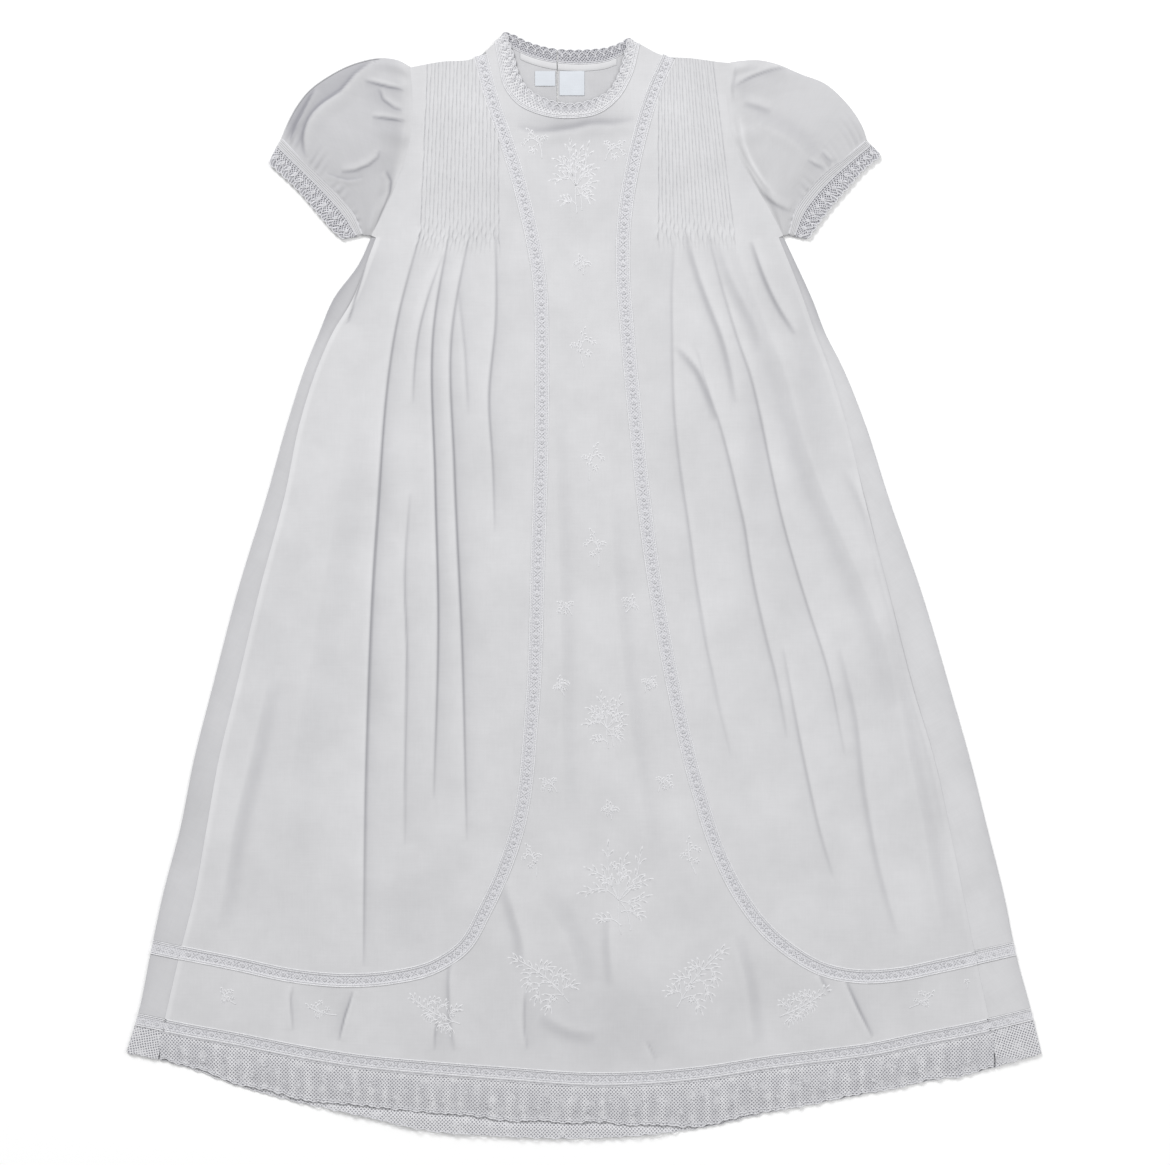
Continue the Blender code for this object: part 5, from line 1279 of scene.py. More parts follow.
def make_hem_lace():
    """The gathered net lace of the front hem, with worked flowers and a corded edge."""
    waves = uneven_places(LACE_LEFT, LACE_RIGHT, 2 * FRONT_LACE_WAVES)
    x = np.linspace(LEFT_SEAM(LACE_Y) + 0.6, RIGHT_SEAM(LACE_Y) - 0.6, 760)
    down = np.linspace(0.0, 1.0, 22)[:, None]
    px, py, pz, tone = front_lace_surface(x[None] * np.ones_like(down), down, waves)
    rises = np.diff(wave_height(x, waves))
    fullness = np.cumsum(np.concatenate([[0.0], np.hypot(np.diff(x), rises)]))
    cloth = np.dstack([fullness[None] * np.ones_like(down), py, tone])
    tubes = []
    for share, radius in ((0.0, 0.5), (0.045, 0.3), (0.94, 0.26), (1.0, 0.32)):
        ex, ey, ez, _ = front_lace_surface(x, np.full(len(x), share), waves)
        tubes.append(tube_along(np.column_stack([ex, ey]), radius, ez + 0.1, 6))
    trims = [add_joined("front_hem_lace_cords", tubes, DULL_THREAD, "front_hem_lace"),
             add_hem_flowers(waves)]
    add_sheet("front_hem_lace", [(np.dstack([px, py, pz]), cloth)], NET,
              trims=trims)


def add_hem_flowers(waves):
    """Worked flowers on the hem net: six petals round a knot, with small leaves between them."""
    lift = 0.15
    places = np.arange(-262.0, 262.0, 15.5)
    share = np.where(np.arange(len(places)) % 2 == 0, 0.42, 0.68)
    x, y, z, _ = front_lace_surface(places, share, waves)
    spots = np.column_stack([x, y])
    parts = [copied(LEAF, spots + 1.8 * heading(turn), z + lift, turn, 1.2, 0.6, 0.2)
             for turn in np.arange(6) * math.pi / 3 + 0.3]
    parts.append(copied(DOME, spots, z + lift, 0, 0.7, 0.7, 0.3))
    x, y, z, _ = front_lace_surface(places + 7.6, 1.12 - share, waves)
    spots = np.column_stack([x, y])
    parts += [copied(LEAF, spots + 1.6 * heading(turn), z + lift, turn, 1.3, 0.5, 0.2)
              for turn in (0.6, 2.5, 4.2)]
    return add_copies("front_hem_lace_flowers", parts, DULL_THREAD, "front_hem_lace")


def turn_x(y, side):
    return LEFT_FOLD(y) + FOLD_RADIUS if side < 0 else RIGHT_FOLD(y) - FOLD_RADIUS


def wrapped(past, y, side):
    """Point of the back past the turn: half round a circle, then on over the front."""
    angle = np.minimum(past / FOLD_LENGTH, 1.0) * math.pi
    over = np.maximum(past - FOLD_LENGTH, 0.0)
    x = turn_x(y, side) + side * (FOLD_RADIUS * np.sin(angle) - over)
    return x, FOLD_RADIUS - FOLD_RADIUS * np.cos(angle)


def across_back(y_of):
    """A line across the back from side seam to side seam, with its place on the opened cloth.

    y_of gives the line's height at any x of the flat gown. Past a side fold the cloth opens
    out as a mirror image in the fold's own slope.
    """
    halves = []
    for side in (-1, 1):
        past = np.concatenate([
            np.linspace(0.0, FOLD_LENGTH, TURN_POINTS),
            np.linspace(0.0, 1.0, WRAP_POINTS + 1)[1:] + FOLD_LENGTH,
        ])
        share = np.concatenate([np.zeros(TURN_POINTS), np.linspace(0.0, 1.0, WRAP_POINTS + 1)[1:]])
        x = np.full(len(past), float(side * 280))
        for _ in range(6):
            y = y_of(x)
            seam = LEFT_SEAM(y) if side < 0 else RIGHT_SEAM(y)
            wrap = side * (turn_x(y, side) - seam) + SEAM_UNDERLAP
            reach = np.where(share > 0, FOLD_LENGTH + share * wrap, np.minimum(past, FOLD_LENGTH))
            x, z = wrapped(reach, y, side)
            z = z - 0.35 * eased((reach - FOLD_LENGTH - wrap + 2 * SEAM_UNDERLAP) / SEAM_UNDERLAP)
        over = np.maximum(reach - FOLD_LENGTH, 0.0)
        slope = (turn_x(y + 1.0, side) - turn_x(y - 1.0, side)) / 2
        flat_x = turn_x(y, side) + side * (reach + over * (1 - slope**2) / (1 + slope**2) - over)
        flat_y = y - side * 2 * over * slope / (1 + slope**2)
        halves.append(np.stack([x, y, z, flat_x, flat_y], axis=1))
    left, right = halves[0][::-1], halves[1]
    inner = np.linspace(left[-1, 0], right[0, 0], INNER_POINTS)[1:-1]
    middle = np.stack([inner, y_of(inner), np.zeros(len(inner)), inner, y_of(inner)], axis=1)
    return np.concatenate([left, middle, right])


def back_grid(top_of, bottom_of, rows, relief=None):
    """A wrapped grid between two lines across the back, its outside facing out.

    Where it shows over the front, painted shade darkens it near the turn and towards the
    underarm; below the middle of the turn it has a flat painted shade.
    """
    lines = [
        across_back(lambda x, s=share: top_of(x) + (bottom_of(x) - top_of(x)) * s)
        for share in np.linspace(0.0, 1.0, rows)
    ]
    lines = np.stack(lines)
    grid = lines[..., :3].copy()
    grid[..., 2] += 0.02
    on_top = lines[..., 2] > FOLD_RADIUS
    from_turn = np.minimum(lines[..., 0] - LEFT_FOLD(lines[..., 1]),
                           RIGHT_FOLD(lines[..., 1]) - lines[..., 0])
    high = UNDERARM_SHADE * eased((lines[..., 1] - 150.0) / 30.0)
    strip = np.where(lines[..., 0] > 0, RIGHT_STRIP_SHADE, LEFT_STRIP_SHADE)
    # Painted shade: a tone for each side's strip, darker near the turn and towards the underarm
    shade = strip + (0.16 + high) * np.exp(-from_turn / 3.5) + high * 0.6
    grid[..., 2] += np.where(on_top, rumple(lines[..., 0], lines[..., 1]) * 0.5, 0.0)
    if relief is not None:
        grid[..., 2] += relief(grid)
    cloth = np.dstack([lines[..., 3], lines[..., 4], np.where(on_top, shade, 0.3)])
    return grid, cloth


def back_rise(x):
    return np.interp(x, (HEM[0].x, HEM[-1].x), (BACK_RISE_LEFT, BACK_RISE_RIGHT))


def insertion_middle(x):
    return INSERTION_TOP(x) + back_rise(x)


def make_back():
    """The back: wrapped from the underarm to its insertion, and flat up to the neck."""
    low = lambda x: insertion_middle(x) + HALF + GAP
    level = lambda x: np.full_like(x, UNDERARM_Y)
    skirt = back_grid(level, low, 110)

    left_arm = extended(beside(smooth(LEFT_ARMHOLE), GAP / 2))
    right_arm = extended(beside(smooth(RIGHT_ARMHOLE), -GAP / 2))
    neck = extended(beside(smooth(BACK_NECK), -GAP / 2))
    left_shoulder = extended(smooth(LEFT_SHOULDER))
    right_shoulder = extended(smooth(RIGHT_SHOULDER))
    halves = []
    for side, edge, arm, shoulder in ((-1, SLIT_X - SLIT_WIDTH / 2, left_arm, left_shoulder),
                                      (1, SLIT_X + SLIT_WIDTH / 2, right_arm, right_shoulder)):
        slit = np.array([(edge, UNDERARM_Y - 6), (edge, 362.0)])
        base = np.array([(-160.0, UNDERARM_Y), (160.0, UNDERARM_Y)])
        if side < 0:
            outline = outline_of(base, slit, neck[::-1], shoulder[::-1], arm)
            guides = [moved(x_of(arm), INSIDE), upright(-56.0), upright(edge - INSIDE)]
            counts = [16, 14]
        else:
            outline = outline_of(base, arm[::-1], shoulder[::-1], neck[::-1], slit[::-1])
            guides = [upright(edge + INSIDE), upright(35.0), moved(x_of(arm), -INSIDE)]
            counts = [20, 14]
        flat = panel(guides, counts, np.linspace(356.0, UNDERARM_Y, 60), outline)
        points = flat.reshape(-1, 2)
        # Painted shade on the back's inside, seen through the neck opening, with an uneven tone
        shade = 0.22 + 0.2 * rumple(points[:, 0] * 2, points[:, 1] * 2)
        z = BACK_INSIDE - 0.1 + rumple(points[:, 0], points[:, 1]) * 0.5
        halves.append((np.dstack([flat, z.reshape(flat.shape[:2])]),
                       np.dstack([flat, shade.reshape(flat.shape[:2])])))
    add_sheet("back", [skirt, *halves], BATISTE, way=-1)

    trims = {}
    for name, height_of, half in (
        ("back_insertion", insertion_middle, HALF),
        ("back_hem_insertion", lambda x: INSERTION_TOP(x) - HEM_INSERTION_WIDTH / 2,
         HEM_INSERTION_WIDTH / 2),
    ):
        trims[name] = []
        for word, side in (("left", -1), ("right", 1)):
            line = across_back(height_of)
            on_top = line[line[:, 2] > FOLD_RADIUS]
            on_top = on_top[on_top[:, 0] * side > 0]
            on_top = on_top[np.argsort(on_top[:, 0]), :2]
            trims[name] += insertion_trim(f"{name}_{word}", resampled(on_top, 24), half, FRONT_TOP,
                                          name)

    for name, top_of, bottom_of, rows, material in (
        ("back_insertion", lambda x: insertion_middle(x) + HALF,
         lambda x: insertion_middle(x) - HALF, 9, INSERTION_NET),
        ("back_hem_band", lambda x: insertion_middle(x) - HALF - GAP,
         lambda x: INSERTION_TOP(x) + GAP, 14, BATISTE),
        ("back_hem_insertion", INSERTION_TOP,
         lambda x: INSERTION_TOP(x) - HEM_INSERTION_WIDTH, 9, INSERTION_NET),
    ):
        grid = back_grid(top_of, bottom_of, rows)
        add_sheet(name, [grid], material, trims=trims.get(name, ()), way=-1)

    waves = uneven_places(PEEK_LEFT, PEEK_RIGHT, 2 * BACK_LACE_WAVES)

    def relief(grid):
        x = np.clip(grid[..., 0], PEEK_LEFT, PEEK_RIGHT)
        below = FRONT_LACE_EDGE(x) - 1.1 - grid[..., 1]
        shown = FRONT_LACE_EDGE(x) - BACK_LACE_EDGE(x) - 2.5
        faded = np.clip(shown / 2.5, 0.0, 1.0) * np.clip(below / 2.5, 0.0, 1.0)
        return (1.2 + wave_height(x, waves) * 0.8) * faded + 0.3 * (grid[..., 2] < 1.0)

    lace = back_grid(lambda x: INSERTION_TOP(x) - HEM_INSERTION_WIDTH - GAP,
                     lambda x: BACK_LACE_EDGE(x) + frilled(x + 40), 20, relief)
    # A flat tone of painted shade over the back's hem lace, which lies under the front's
    lace[1][..., 2] = 0.3
    edge = across_back(lambda x: BACK_LACE_EDGE(x) + frilled(x + 40))
    low_edge = edge[edge[:, 2] < 0.5]
    fine_x = np.linspace(low_edge[0, 0], low_edge[-1, 0], 420)
    fine_y = BACK_LACE_EDGE(fine_x) + frilled(fine_x + 40)
    fine = np.dstack([fine_x[None], fine_y[None], np.zeros_like(fine_x)[None]])
    height = 0.5 + relief(fine)[0]
    cord = add_joined("back_hem_lace_cord",
                      [tube_along(np.column_stack([fine_x, fine_y]), 0.32, height, 6)],
                      DULL_THREAD, "back_hem_lace")
    add_sheet("back_hem_lace", [lace], BACK_NET, trims=[cord], way=-1)


def fitted(line, start, end):
    """The line with its ends moved onto two points, and the rest moved along with them."""
    part = np.linspace(0.0, 1.0, len(line))[:, None]
    return line + (start - line[0]) * (1 - part) + (end - line[-1]) * part


def sleeve_patch(armhole, cuff, top, rows, columns):
    """Flat points blended from a sleeve's four edges, rows from armhole to cuff."""
    armhole = shortened(armhole, FOLD_RADIUS, columns)
    cuff = resampled(cuff, columns)
    top = fitted(resampled(top, rows), armhole[0], cuff[0])
    part = np.linspace(0.0, 1.0, rows)
    under = armhole[-1] + (cuff[-1] - armhole[-1]) * part[:, None]
    u = part[:, None, None]
    v = np.linspace(0.0, 1.0, columns)[None, :, None]
    ruled = armhole[None] * (1 - u) + cuff[None] * u
    sides = top[:, None] * (1 - v) + under[:, None] * v
    near = armhole[0] * (1 - v) + armhole[-1] * v
    far = cuff[0] * (1 - v) + cuff[-1] * v
    return ruled + sides - near * (1 - u) - far * u


def tube_grid(flat, rise, tone):
    """A flattened tube round a grid of flat points, and its cloth values.

    It runs under the points, round the far fold, back over them raised by rise, and round
    the near fold. Each fold is half a circle.
    """
    rows, columns = flat.shape[:2]
    bends = np.arange(1, 7) / 7 * math.pi

    def fold(edge, inner, way):
        out = edge - inner
        out = out / np.linalg.norm(out, axis=1)[:, None] * FOLD_RADIUS
        turned = edge[:, None] + out[:, None] * np.sin(bends)[:, None]
        heights = FOLD_RADIUS * (1 - way * np.cos(bends)) * np.ones((rows, 1))
        return np.dstack([turned, heights])

    grid = np.concatenate([
        np.dstack([flat, np.full((rows, columns), 0.02)]),
        fold(flat[:, -1], flat[:, -2], 1),
        np.dstack([flat, FRONT_TOP + rise])[:, ::-1],
        fold(flat[:, 0], flat[:, 1], -1),
    ], axis=1)
    # Painted shade: a little round each fold, more on the underside
    at_fold = np.full((rows, len(bends)), 0.1)
    under = np.full((rows, columns), 0.2)
    tones = np.concatenate([under, at_fold, tone[:, ::-1], at_fold], axis=1)
    closed = np.concatenate([grid, grid[:, :1]], axis=1)
    around = np.cumsum(np.linalg.norm(np.diff(closed, axis=1), axis=2), axis=1)
    around = np.concatenate([np.zeros((rows, 1)), around[:, :-1]], axis=1)
    along = lengths_along(grid[:, columns // 2])[:, None] * np.ones(grid.shape[1])
    return grid, np.dstack([around, along, tones])


def add_tube_sheet(name, grid, cloth, material, trims=()):
    """A gathered tube of cloth as one sheet, open at both ends, with its faces outwards."""
    faces = facing(grid[:, :4], grid_faces(*grid.shape[:2], 0, True), -1)
    piece = add_mesh(f"{name}_cloth", grid.reshape(-1, 3), [faces], cloth.reshape(-1, 3),
                     material, name)
    declare(name)


def scalloped(line, side):
    """The line with rounded scallops, whose tops stand to its left where side is positive."""
    length = lengths_along(line)[-1]
    count = max(2, round(length / SCALLOP_PITCH))
    even = resampled(line, count * SCALLOP_POINTS + 1)
    place = (np.arange(len(even)) % SCALLOP_POINTS) / SCALLOP_POINTS
    bulge = np.abs(np.sin(math.pi * place)) ** 0.7 - 0.4
    return even + left_of(even) * (side * SCALLOP_DEPTH * bulge)[:, None]


def make_sleeve(word, side, armhole, cuff_line, top, folds):
    """One puff sleeve, laid flat: a soft puff, gathered at its cap and along its cuff.

    The puff rises quickly from the armhole, is round across the sleeve, and falls towards the
    cuff. Its gathers are squared sines across the sleeve that fade out along it.
    """
    rows, columns = 84, 96
    flat = sleeve_patch(beside(smooth(armhole), side * GAP / 2),
                        shortened(smooth(cuff_line), FOLD_RADIUS, columns),
                        beside(smooth(top), -side * FOLD_RADIUS), rows, columns)
    u = np.linspace(0.0, 1.0, rows)[:, None]
    v = np.linspace(0.0, 1.0, columns)[None]
    round_over = (1 - (2 * v - 1) ** 2) ** 0.7
    falling = 1 - 0.8 * eased((u - 0.62) / 0.38)
    rise = PUFF_HEIGHT * round_over * eased(u / 0.28) * falling
    at_ends = eased(u / 0.06) * eased((1 - u) / 0.05)
    cap = np.sin(math.pi * CAP_GATHERS * v**0.8 + 0.8 * u) ** 2 * (1 - eased(u / 0.42))
    cap = cap * (0.5 + 0.5 * np.sin(17 * v + 1.0))
    wave = np.sin(math.pi * CUFF_GATHERS * v + 1.5 * np.sin(5 * v)) ** 2
    gathered = wave * eased((u - 0.72) / 0.25) * (0.55 + 0.45 * np.sin(23 * v))
    height, shade = (values.reshape(rows, columns) for values in folded(flat.reshape(-1, 2), folds))
    soft = rumple(flat[..., 0] * 1.6, flat[..., 1] * 1.6) * 1.5 * round_over
    relief = (np.maximum(0.9 * cap + 0.8 * gathered, height) + soft) * at_ends
    # Painted shade along the gathers of cap and cuff, with the folds' painted shade and highlight
    tone = shade * at_ends + 0.18 * gathered * at_ends + 0.1 * cap
    if side < 0:
        # Below its long crease the left sleeve turns away from the light
        reach, _, crease_side = distance_to(smooth(folds[0].spots, 6.0), flat.reshape(-1, 2))
        below = np.where(crease_side < 0, 1.0, 0.0) * eased((reach - 0.4) / 2.0)
        below = below.reshape(rows, columns) * eased((0.98 - u) / 0.1) * eased((1 - v) * 3.0 - 1.2)
        # Painted shade: a little over the whole left sleeve, more below its crease
        tone = tone + 0.14 + 0.28 * below
        relief = relief - 0.6 * below * at_ends
    # A painted highlight near the armhole, and a faint painted shade over the rest
    tone = tone + 0.05 - 0.34 * (1 - eased(u / 0.13))
    add_tube_sheet(f"sleeve_{word}", *tube_grid(flat, rise + relief, tone), SHADED_SLEEVE_BATISTE)


def make_cuff(word, side, cuff_line, edge_line):
    """The corded band of one sleeve with its piping, and the scalloped lace below it."""
    width = CUFF_BAND_WIDTH + CUFF_LACE_WIDTH
    rows, columns = 25, 60
    seam = smooth(cuff_line)
    free_edge = smooth(edge_line)
    cuff = shortened(seam, FOLD_RADIUS, columns)
    edge = shortened(free_edge, FOLD_RADIUS, columns)
    shares = np.linspace(GAP / width, CUFF_BAND_WIDTH / width, rows)[:, None, None]
    places = np.linspace(0.0, CUFF_RIDGES, rows)[:, None] * np.ones(columns)
    ridges = np.abs(np.sin(math.pi * places))
    # Painted shade in the grooves between the band's cords, and a little painted light on them
    grid, cloth = tube_grid(cuff + (edge - cuff) * shares, 0.4 * ridges, 0.4 * (1 - ridges) - 0.05)
    name = f"cuff_band_{word}"
    piping = tube_along(shortened(seam, 1.0, 80), 0.5, np.full(80, FRONT_TOP), 8)
    piping = add_joined(f"{name}_piping", [piping], DULL_THREAD, name)
    add_tube_sheet(name, grid, cloth, BAND, [piping])

    free = fitted(scalloped(free_edge, side), edge[0], edge[-1])
    near = resampled(cuff + (edge - cuff) * ((CUFF_BAND_WIDTH + GAP) / width), len(free))
    flat, _, share = between(near, free, 9)
    place = np.arange(len(free))
    ripple = 0.35 * np.sin(place * 2 * math.pi / SCALLOP_POINTS)[None] * share
    tone = 0.35 * (0.5 - 0.5 * np.sin(place * 0.9))[None] * np.ones((9, 1)) + 0.1
    grid, cloth = tube_grid(flat, ripple, tone)
    name = f"cuff_lace_{word}"
    trims = trim_edging(name, near, free, FRONT_TOP + 0.1, 0.42)
    add_tube_sheet(name, grid, cloth, EDGING_NET, trims)


def trim_edging(name, near, free, base, row, ring=1.25):
    """Corded edges, a zigzag and worked rings of a lace edging between two lines, as pieces."""
    middle = near + (free - near) * row
    length = lengths_along(middle)[-1]
    place = np.linspace(0.0, 1.0, 260) * length / SCALLOP_PITCH
    swing = 0.2 * np.abs((place % 1.0) * 2 - 1) - 0.1
    inner = resampled(near, 260)
    outer = resampled(free, 260)
    zigzag = inner + (outer - inner) * (row + 0.25 + swing * 1.6)[:, None]
    tubes = [
        tube_along(path, radius, np.full(len(path), base + lift), 6)
        for path, radius, lift in ((near, 0.38, 0.1), (near + (free - near) * 0.12, 0.26, 0.1),
                                   (free, 0.36, 0.15), (zigzag, 0.36, 0.15))
    ]
    cords = add_joined(f"{name}_cords", tubes, DULL_THREAD, name)
    spots = at_lengths(middle, np.arange(SCALLOP_PITCH / 2, length, SCALLOP_PITCH))
    picots = at_lengths(free, np.arange(0.9, lengths_along(free)[-1], 1.87))
    parts = [copied(RING, spots, base, 0, ring, ring, 0.3),
             copied(DOME, spots, base, 0, 0.6, 0.6, 0.5),
             copied(DOME, picots, base, 0, 0.5, 0.5, 0.4)]
    return [cords, add_copies(f"{name}_rings", parts, DULL_THREAD, name)]


def between(near, free, rows):
    """Flat points from one line to another, with their places along it and shares across."""
    share = np.linspace(0.0, 1.0, rows)[:, None]
    part = share[..., None]
    flat = near[None] * (1 - part) + free[None] * part
    return flat, lengths_along(near)[None] * np.ones((rows, 1)), share


def add_neck_lace(name, near, free, rows, height_of, tone_of, base, row, ring, material, extra=()):
    """One stretch of neck lace between its seam and its free edge, with its worked trims.

    height_of and tone_of give its height and tone at flat points, places along it and
    shares across it.
    """
    flat, along, share = between(near, free, rows)
    z = height_of(along, share)
    cloth = np.dstack([along, share * 9.0 * np.ones_like(along), tone_of(flat, along, share)])
    trims = trim_edging(name, near, free, base, row, ring)
    for trim_name, line in extra:
        trims += insertion_trim(trim_name, line, 1.3, base, name, False)
    add_sheet(name, [(np.dstack([flat, z]), cloth)], material, trims=trims)


def make_neck():
    """Lace round the neck, the binding of the back neck, and two bare labels."""
    wave = 2 * math.pi / SCALLOP_PITCH

    def front_tone(flat, along, share):
        # Painted shade where the lace lies over the back's inside, and in the hollows of its ripple
        over_back = np.exp(-((flat[..., 0] + 10.0) / 17.0) ** 4) * eased((share - 0.3) / 0.3)
        return 0.1 + 0.2 * (0.5 - 0.5 * np.sin(along * wave)) * share + 0.8 * over_back

    free = scalloped(smooth(FRONT_NECK_LACE_EDGE), 1)
    near = resampled(beside(smooth(FRONT_NECK), GAP / 2), len(free))
    add_neck_lace("neck_lace_front", near, free, 12,
                  lambda along, share: FRONT_TOP + 0.1 + 0.3 * np.sin(along * wave) * share,
                  front_tone, FRONT_TOP + 0.05, 0.55, 1.1, NECK_NET,
                  [("neck_entredeux", near + (free - near) * 0.1)])

    back_seam = smooth(BACK_NECK)
    for word, side in (("left", -1), ("right", 1)):
        slit_edge = SLIT_X + side * SLIT_WIDTH / 2
        free = scalloped(cut_at(smooth(BACK_NECK_LACE_EDGE), slit_edge, side), 1)
        near = resampled(cut_at(beside(back_seam, GAP / 2), slit_edge, side), len(free))
        # The back's neck lace lies inside the back, in a flat tone of painted shade
        add_neck_lace(f"neck_lace_back_{word}", near, free, 10,
                      lambda along, share: BACK_INSIDE - 0.1 + 0.25 * np.sin(along * 1.3) * share,
                      lambda flat, along, share: 0.6 * np.ones_like(along),
                      BACK_INSIDE - 0.1, 0.5, 0.8, EDGING_NET)

        ends = (BINDING_LEFT, slit_edge) if side < 0 else (slit_edge, BINDING_RIGHT)
        top = beside(back_seam, -GAP)
        top = top[(top[:, 0] >= ends[0]) & (top[:, 0] <= ends[1])]
        tips = np.column_stack([ends, np.interp(ends, *top.T)])
        top = resampled(np.concatenate([tips[:1], top, tips[1:]]), 50)
        share = np.linspace(0.0, 1.0, 9)[:, None]
        x = top[:, 0][None] * np.ones((9, 1))
        y = top[:, 1][None] - BINDING_WIDTH * share
        crown = 0.2 * np.sin(math.pi * share) ** 0.5 * np.ones_like(x)
        stitch = np.exp(-((share - 0.82) / 0.07) ** 2) * np.ones_like(x)
        grid = np.dstack([x, y, BACK_INSIDE + 0.25 + crown])
        # Painted light lifts the whole binding, which lies low inside the back; its stitched line
        # is darker
        add_sheet(f"neck_binding_{word}", [(grid, np.dstack([x, y, 0.5 * stitch - 0.2]))], BAND,
                  wall=TAPE)

    for label in LABELS:
        x = np.linspace(label.left, label.right, 30)[None] * np.ones((26, 1))
        y = np.linspace(label.top, label.bottom, 26)[:, None] * np.ones((1, 30))
        z = BACK_INSIDE + 0.35 + 0.08 * np.sin(x / 2.2) * np.sin(y / 3.0)
        add_sheet(label.name, [(np.dstack([x, y, z]), np.dstack([x, y, np.zeros_like(x)]))], SATIN,
                  wall=TAPE)


def cut_at(line, edge, side):
    """The part of a line on one side of the slit, ending on the slit."""
    kept = line[side * (line[:, 0] - edge) > 0.3]
    end = np.array([[edge, np.interp(edge, line[:, 0], line[:, 1])]])
    return np.concatenate([kept, end]) if side < 0 else np.concatenate([end, kept])


# Sprays of white work on the front: place, height and width in millimetres, turn, and kind
Spray = namedtuple("Spray", "x y tall wide turn kind")
SPRAYS = [
    Spray(-31.5, 286.8, 21, 16, 0.3, "sprig"),
    Spray(-6.2, 264, 44, 20, 0, "branch"),
    Spray(20, 282, 17, 15, -0.6, "sprig"),
    Spray(-1, 207.7, 12, 8, 0, "sprig"),
    Spray(0.3, 154.4, 26, 14, 0.1, "sprig"),
    Spray(6.2, 80.3, 25, 12, -0.1, "sprig"),
    Spray(7.5, 24.4, 25, 12, 0.1, "sprig"),
    Spray(-11.4, -15.3, 11, 9, 0.6, "sprig"),
    Spray(29.6, -12.7, 11, 9, -0.6, "sprig"),
    Spray(-14, -66, 12, 7, 0.4, "sprig"),
    Spray(42.6, -64.7, 11, 7, -0.4, "sprig"),
    Spray(14, -89.4, 33, 21, 0, "branch"),
    Spray(-21.8, -130.3, 13, 9, 0.7, "sprig"),
    Spray(52.3, -129, 13, 9, -0.5, "sprig"),
    Spray(17.2, -146.6, 11, 8, 0, "sprig"),
    Spray(-33.5, -178.4, 22, 10, 0.2, "sprig"),
    Spray(70.5, -175.8, 25, 11, 0.3, "sprig"),
    Spray(20.6, -198.8, 55, 38, 0, "branch"),
    Spray(-25, -257, 41, 21, 0.8, "spray"),
    Spray(74, -256.4, 44, 20, -0.6, "spray"),
    Spray(-94.6, -277.6, 32, 13, 1.15, "spray"),
    Spray(-170, -275.9, 21, 9, 1.35, "sprig"),
    Spray(-230.4, -267.5, 13, 7, 0.9, "sprig"),
    Spray(141.5, -272.6, 32, 10, -1.12, "spray"),
    Spray(219.4, -269.4, 19, 8, -1.1, "sprig"),
    Spray(249.2, -257.7, 8, 5, 0, "bud"),
]


def stem(start, end, bow, count=9):
    """A bowed stem between two points: straight, plus bow across it along half a sine."""
    share = np.linspace(0.0, 1.0, count)[:, None]
    start, end = np.array(start, float), np.array(end, float)
    run = end - start
    across = np.array([-run[1], run[0]])
    return start + run * share + across * bow * np.sin(math.pi * share)


def spray_parts(kind):
    """Stems, leaves and flowers of one kind of spray, in a space one high and one wide.

    A stem is a row of points. A leaf is its foot, its turn and its length. A flower is its
    place and size.
    """
    stems, leaves, blooms = [], [], []

    def fan(spot, turn, count, spread, length):
        for k in range(count):
            lean = 2 * k / (count - 1) - 1
            leaves.append((*spot, turn + spread * lean / 2, length * (1 - 0.3 * abs(lean))))

    def shoot(start, end, bow, length=2.3, first=2, step=2):
        branch = stem(start, end, bow)
        stems.append(branch)
        for spot in range(first, 9, step):
            run = branch[spot] - branch[spot - 1]
            turn = math.atan2(run[1], run[0])
            leaves.append((*branch[spot], turn + 0.6, length))
            leaves.append((*branch[spot], turn - 0.6, length))
        leaves.append((*branch[-1], turn, length * 1.2))
        return branch

    if kind == "bud":
        stems.append(stem((0.0, -0.45), (0.05, 0.0), 0.15))
        fan((0.05, -0.05), 1.5, 4, 2.4, 2.2)
    elif kind == "sprig":
        main = shoot((-0.1, -0.48), (0.04, 0.4), 0.16, 2.2, 3)
        shoot(main[3], (-0.4, 0.08), -0.25, 2.0, 4)
        shoot(main[4], (0.38, 0.12), 0.25, 2.0, 4)
        blooms.append((0.16, -0.16, 0.18))
    elif kind == "spray":
        main = shoot((-0.05, -0.5), (0.1, 0.52), 0.12, 2.9, 2, 1)
        tips = ((-0.4, -0.34), (0.42, -0.3), (-0.44, -0.12), (0.44, -0.06), (-0.26, 0.14),
                (0.34, 0.18))
        for k, tip in enumerate(tips):
            shoot(main[1 + k // 2 * 2], tip, 0.2 if tip[0] > 0 else -0.2, 2.9, 4)
        blooms += [(-0.12, -0.14, 0.12), (0.2, -0.3, 0.1)]
    else:
        hub = (0.06, -0.1)
        stems.append(stem((0.1, -0.5), hub, 0.06))
        stems.append(stem((0.26, -0.46), hub, -0.14))
        for tip, bow in (((-0.46, 0.0), -0.15), ((-0.36, 0.24), -0.12), ((-0.12, 0.48), 0.12),
                         ((0.14, 0.34), 0.1), ((0.42, 0.4), -0.16), ((0.46, 0.12), 0.1),
                         ((0.44, -0.08), -0.1)):
            shoot(hub, tip, bow, 2.8, 3)
        shoot((0.1, -0.24), (0.36, -0.26), 0.1, 2.6, 4)
        shoot((0.1, -0.4), (-0.2, -0.32), -0.1, 2.6, 4)
        blooms += [(0.16, 0.2, 0.13), (-0.18, 0.12, 0.1), (0.0, 0.3, 0.08)]
    return stems, leaves, blooms


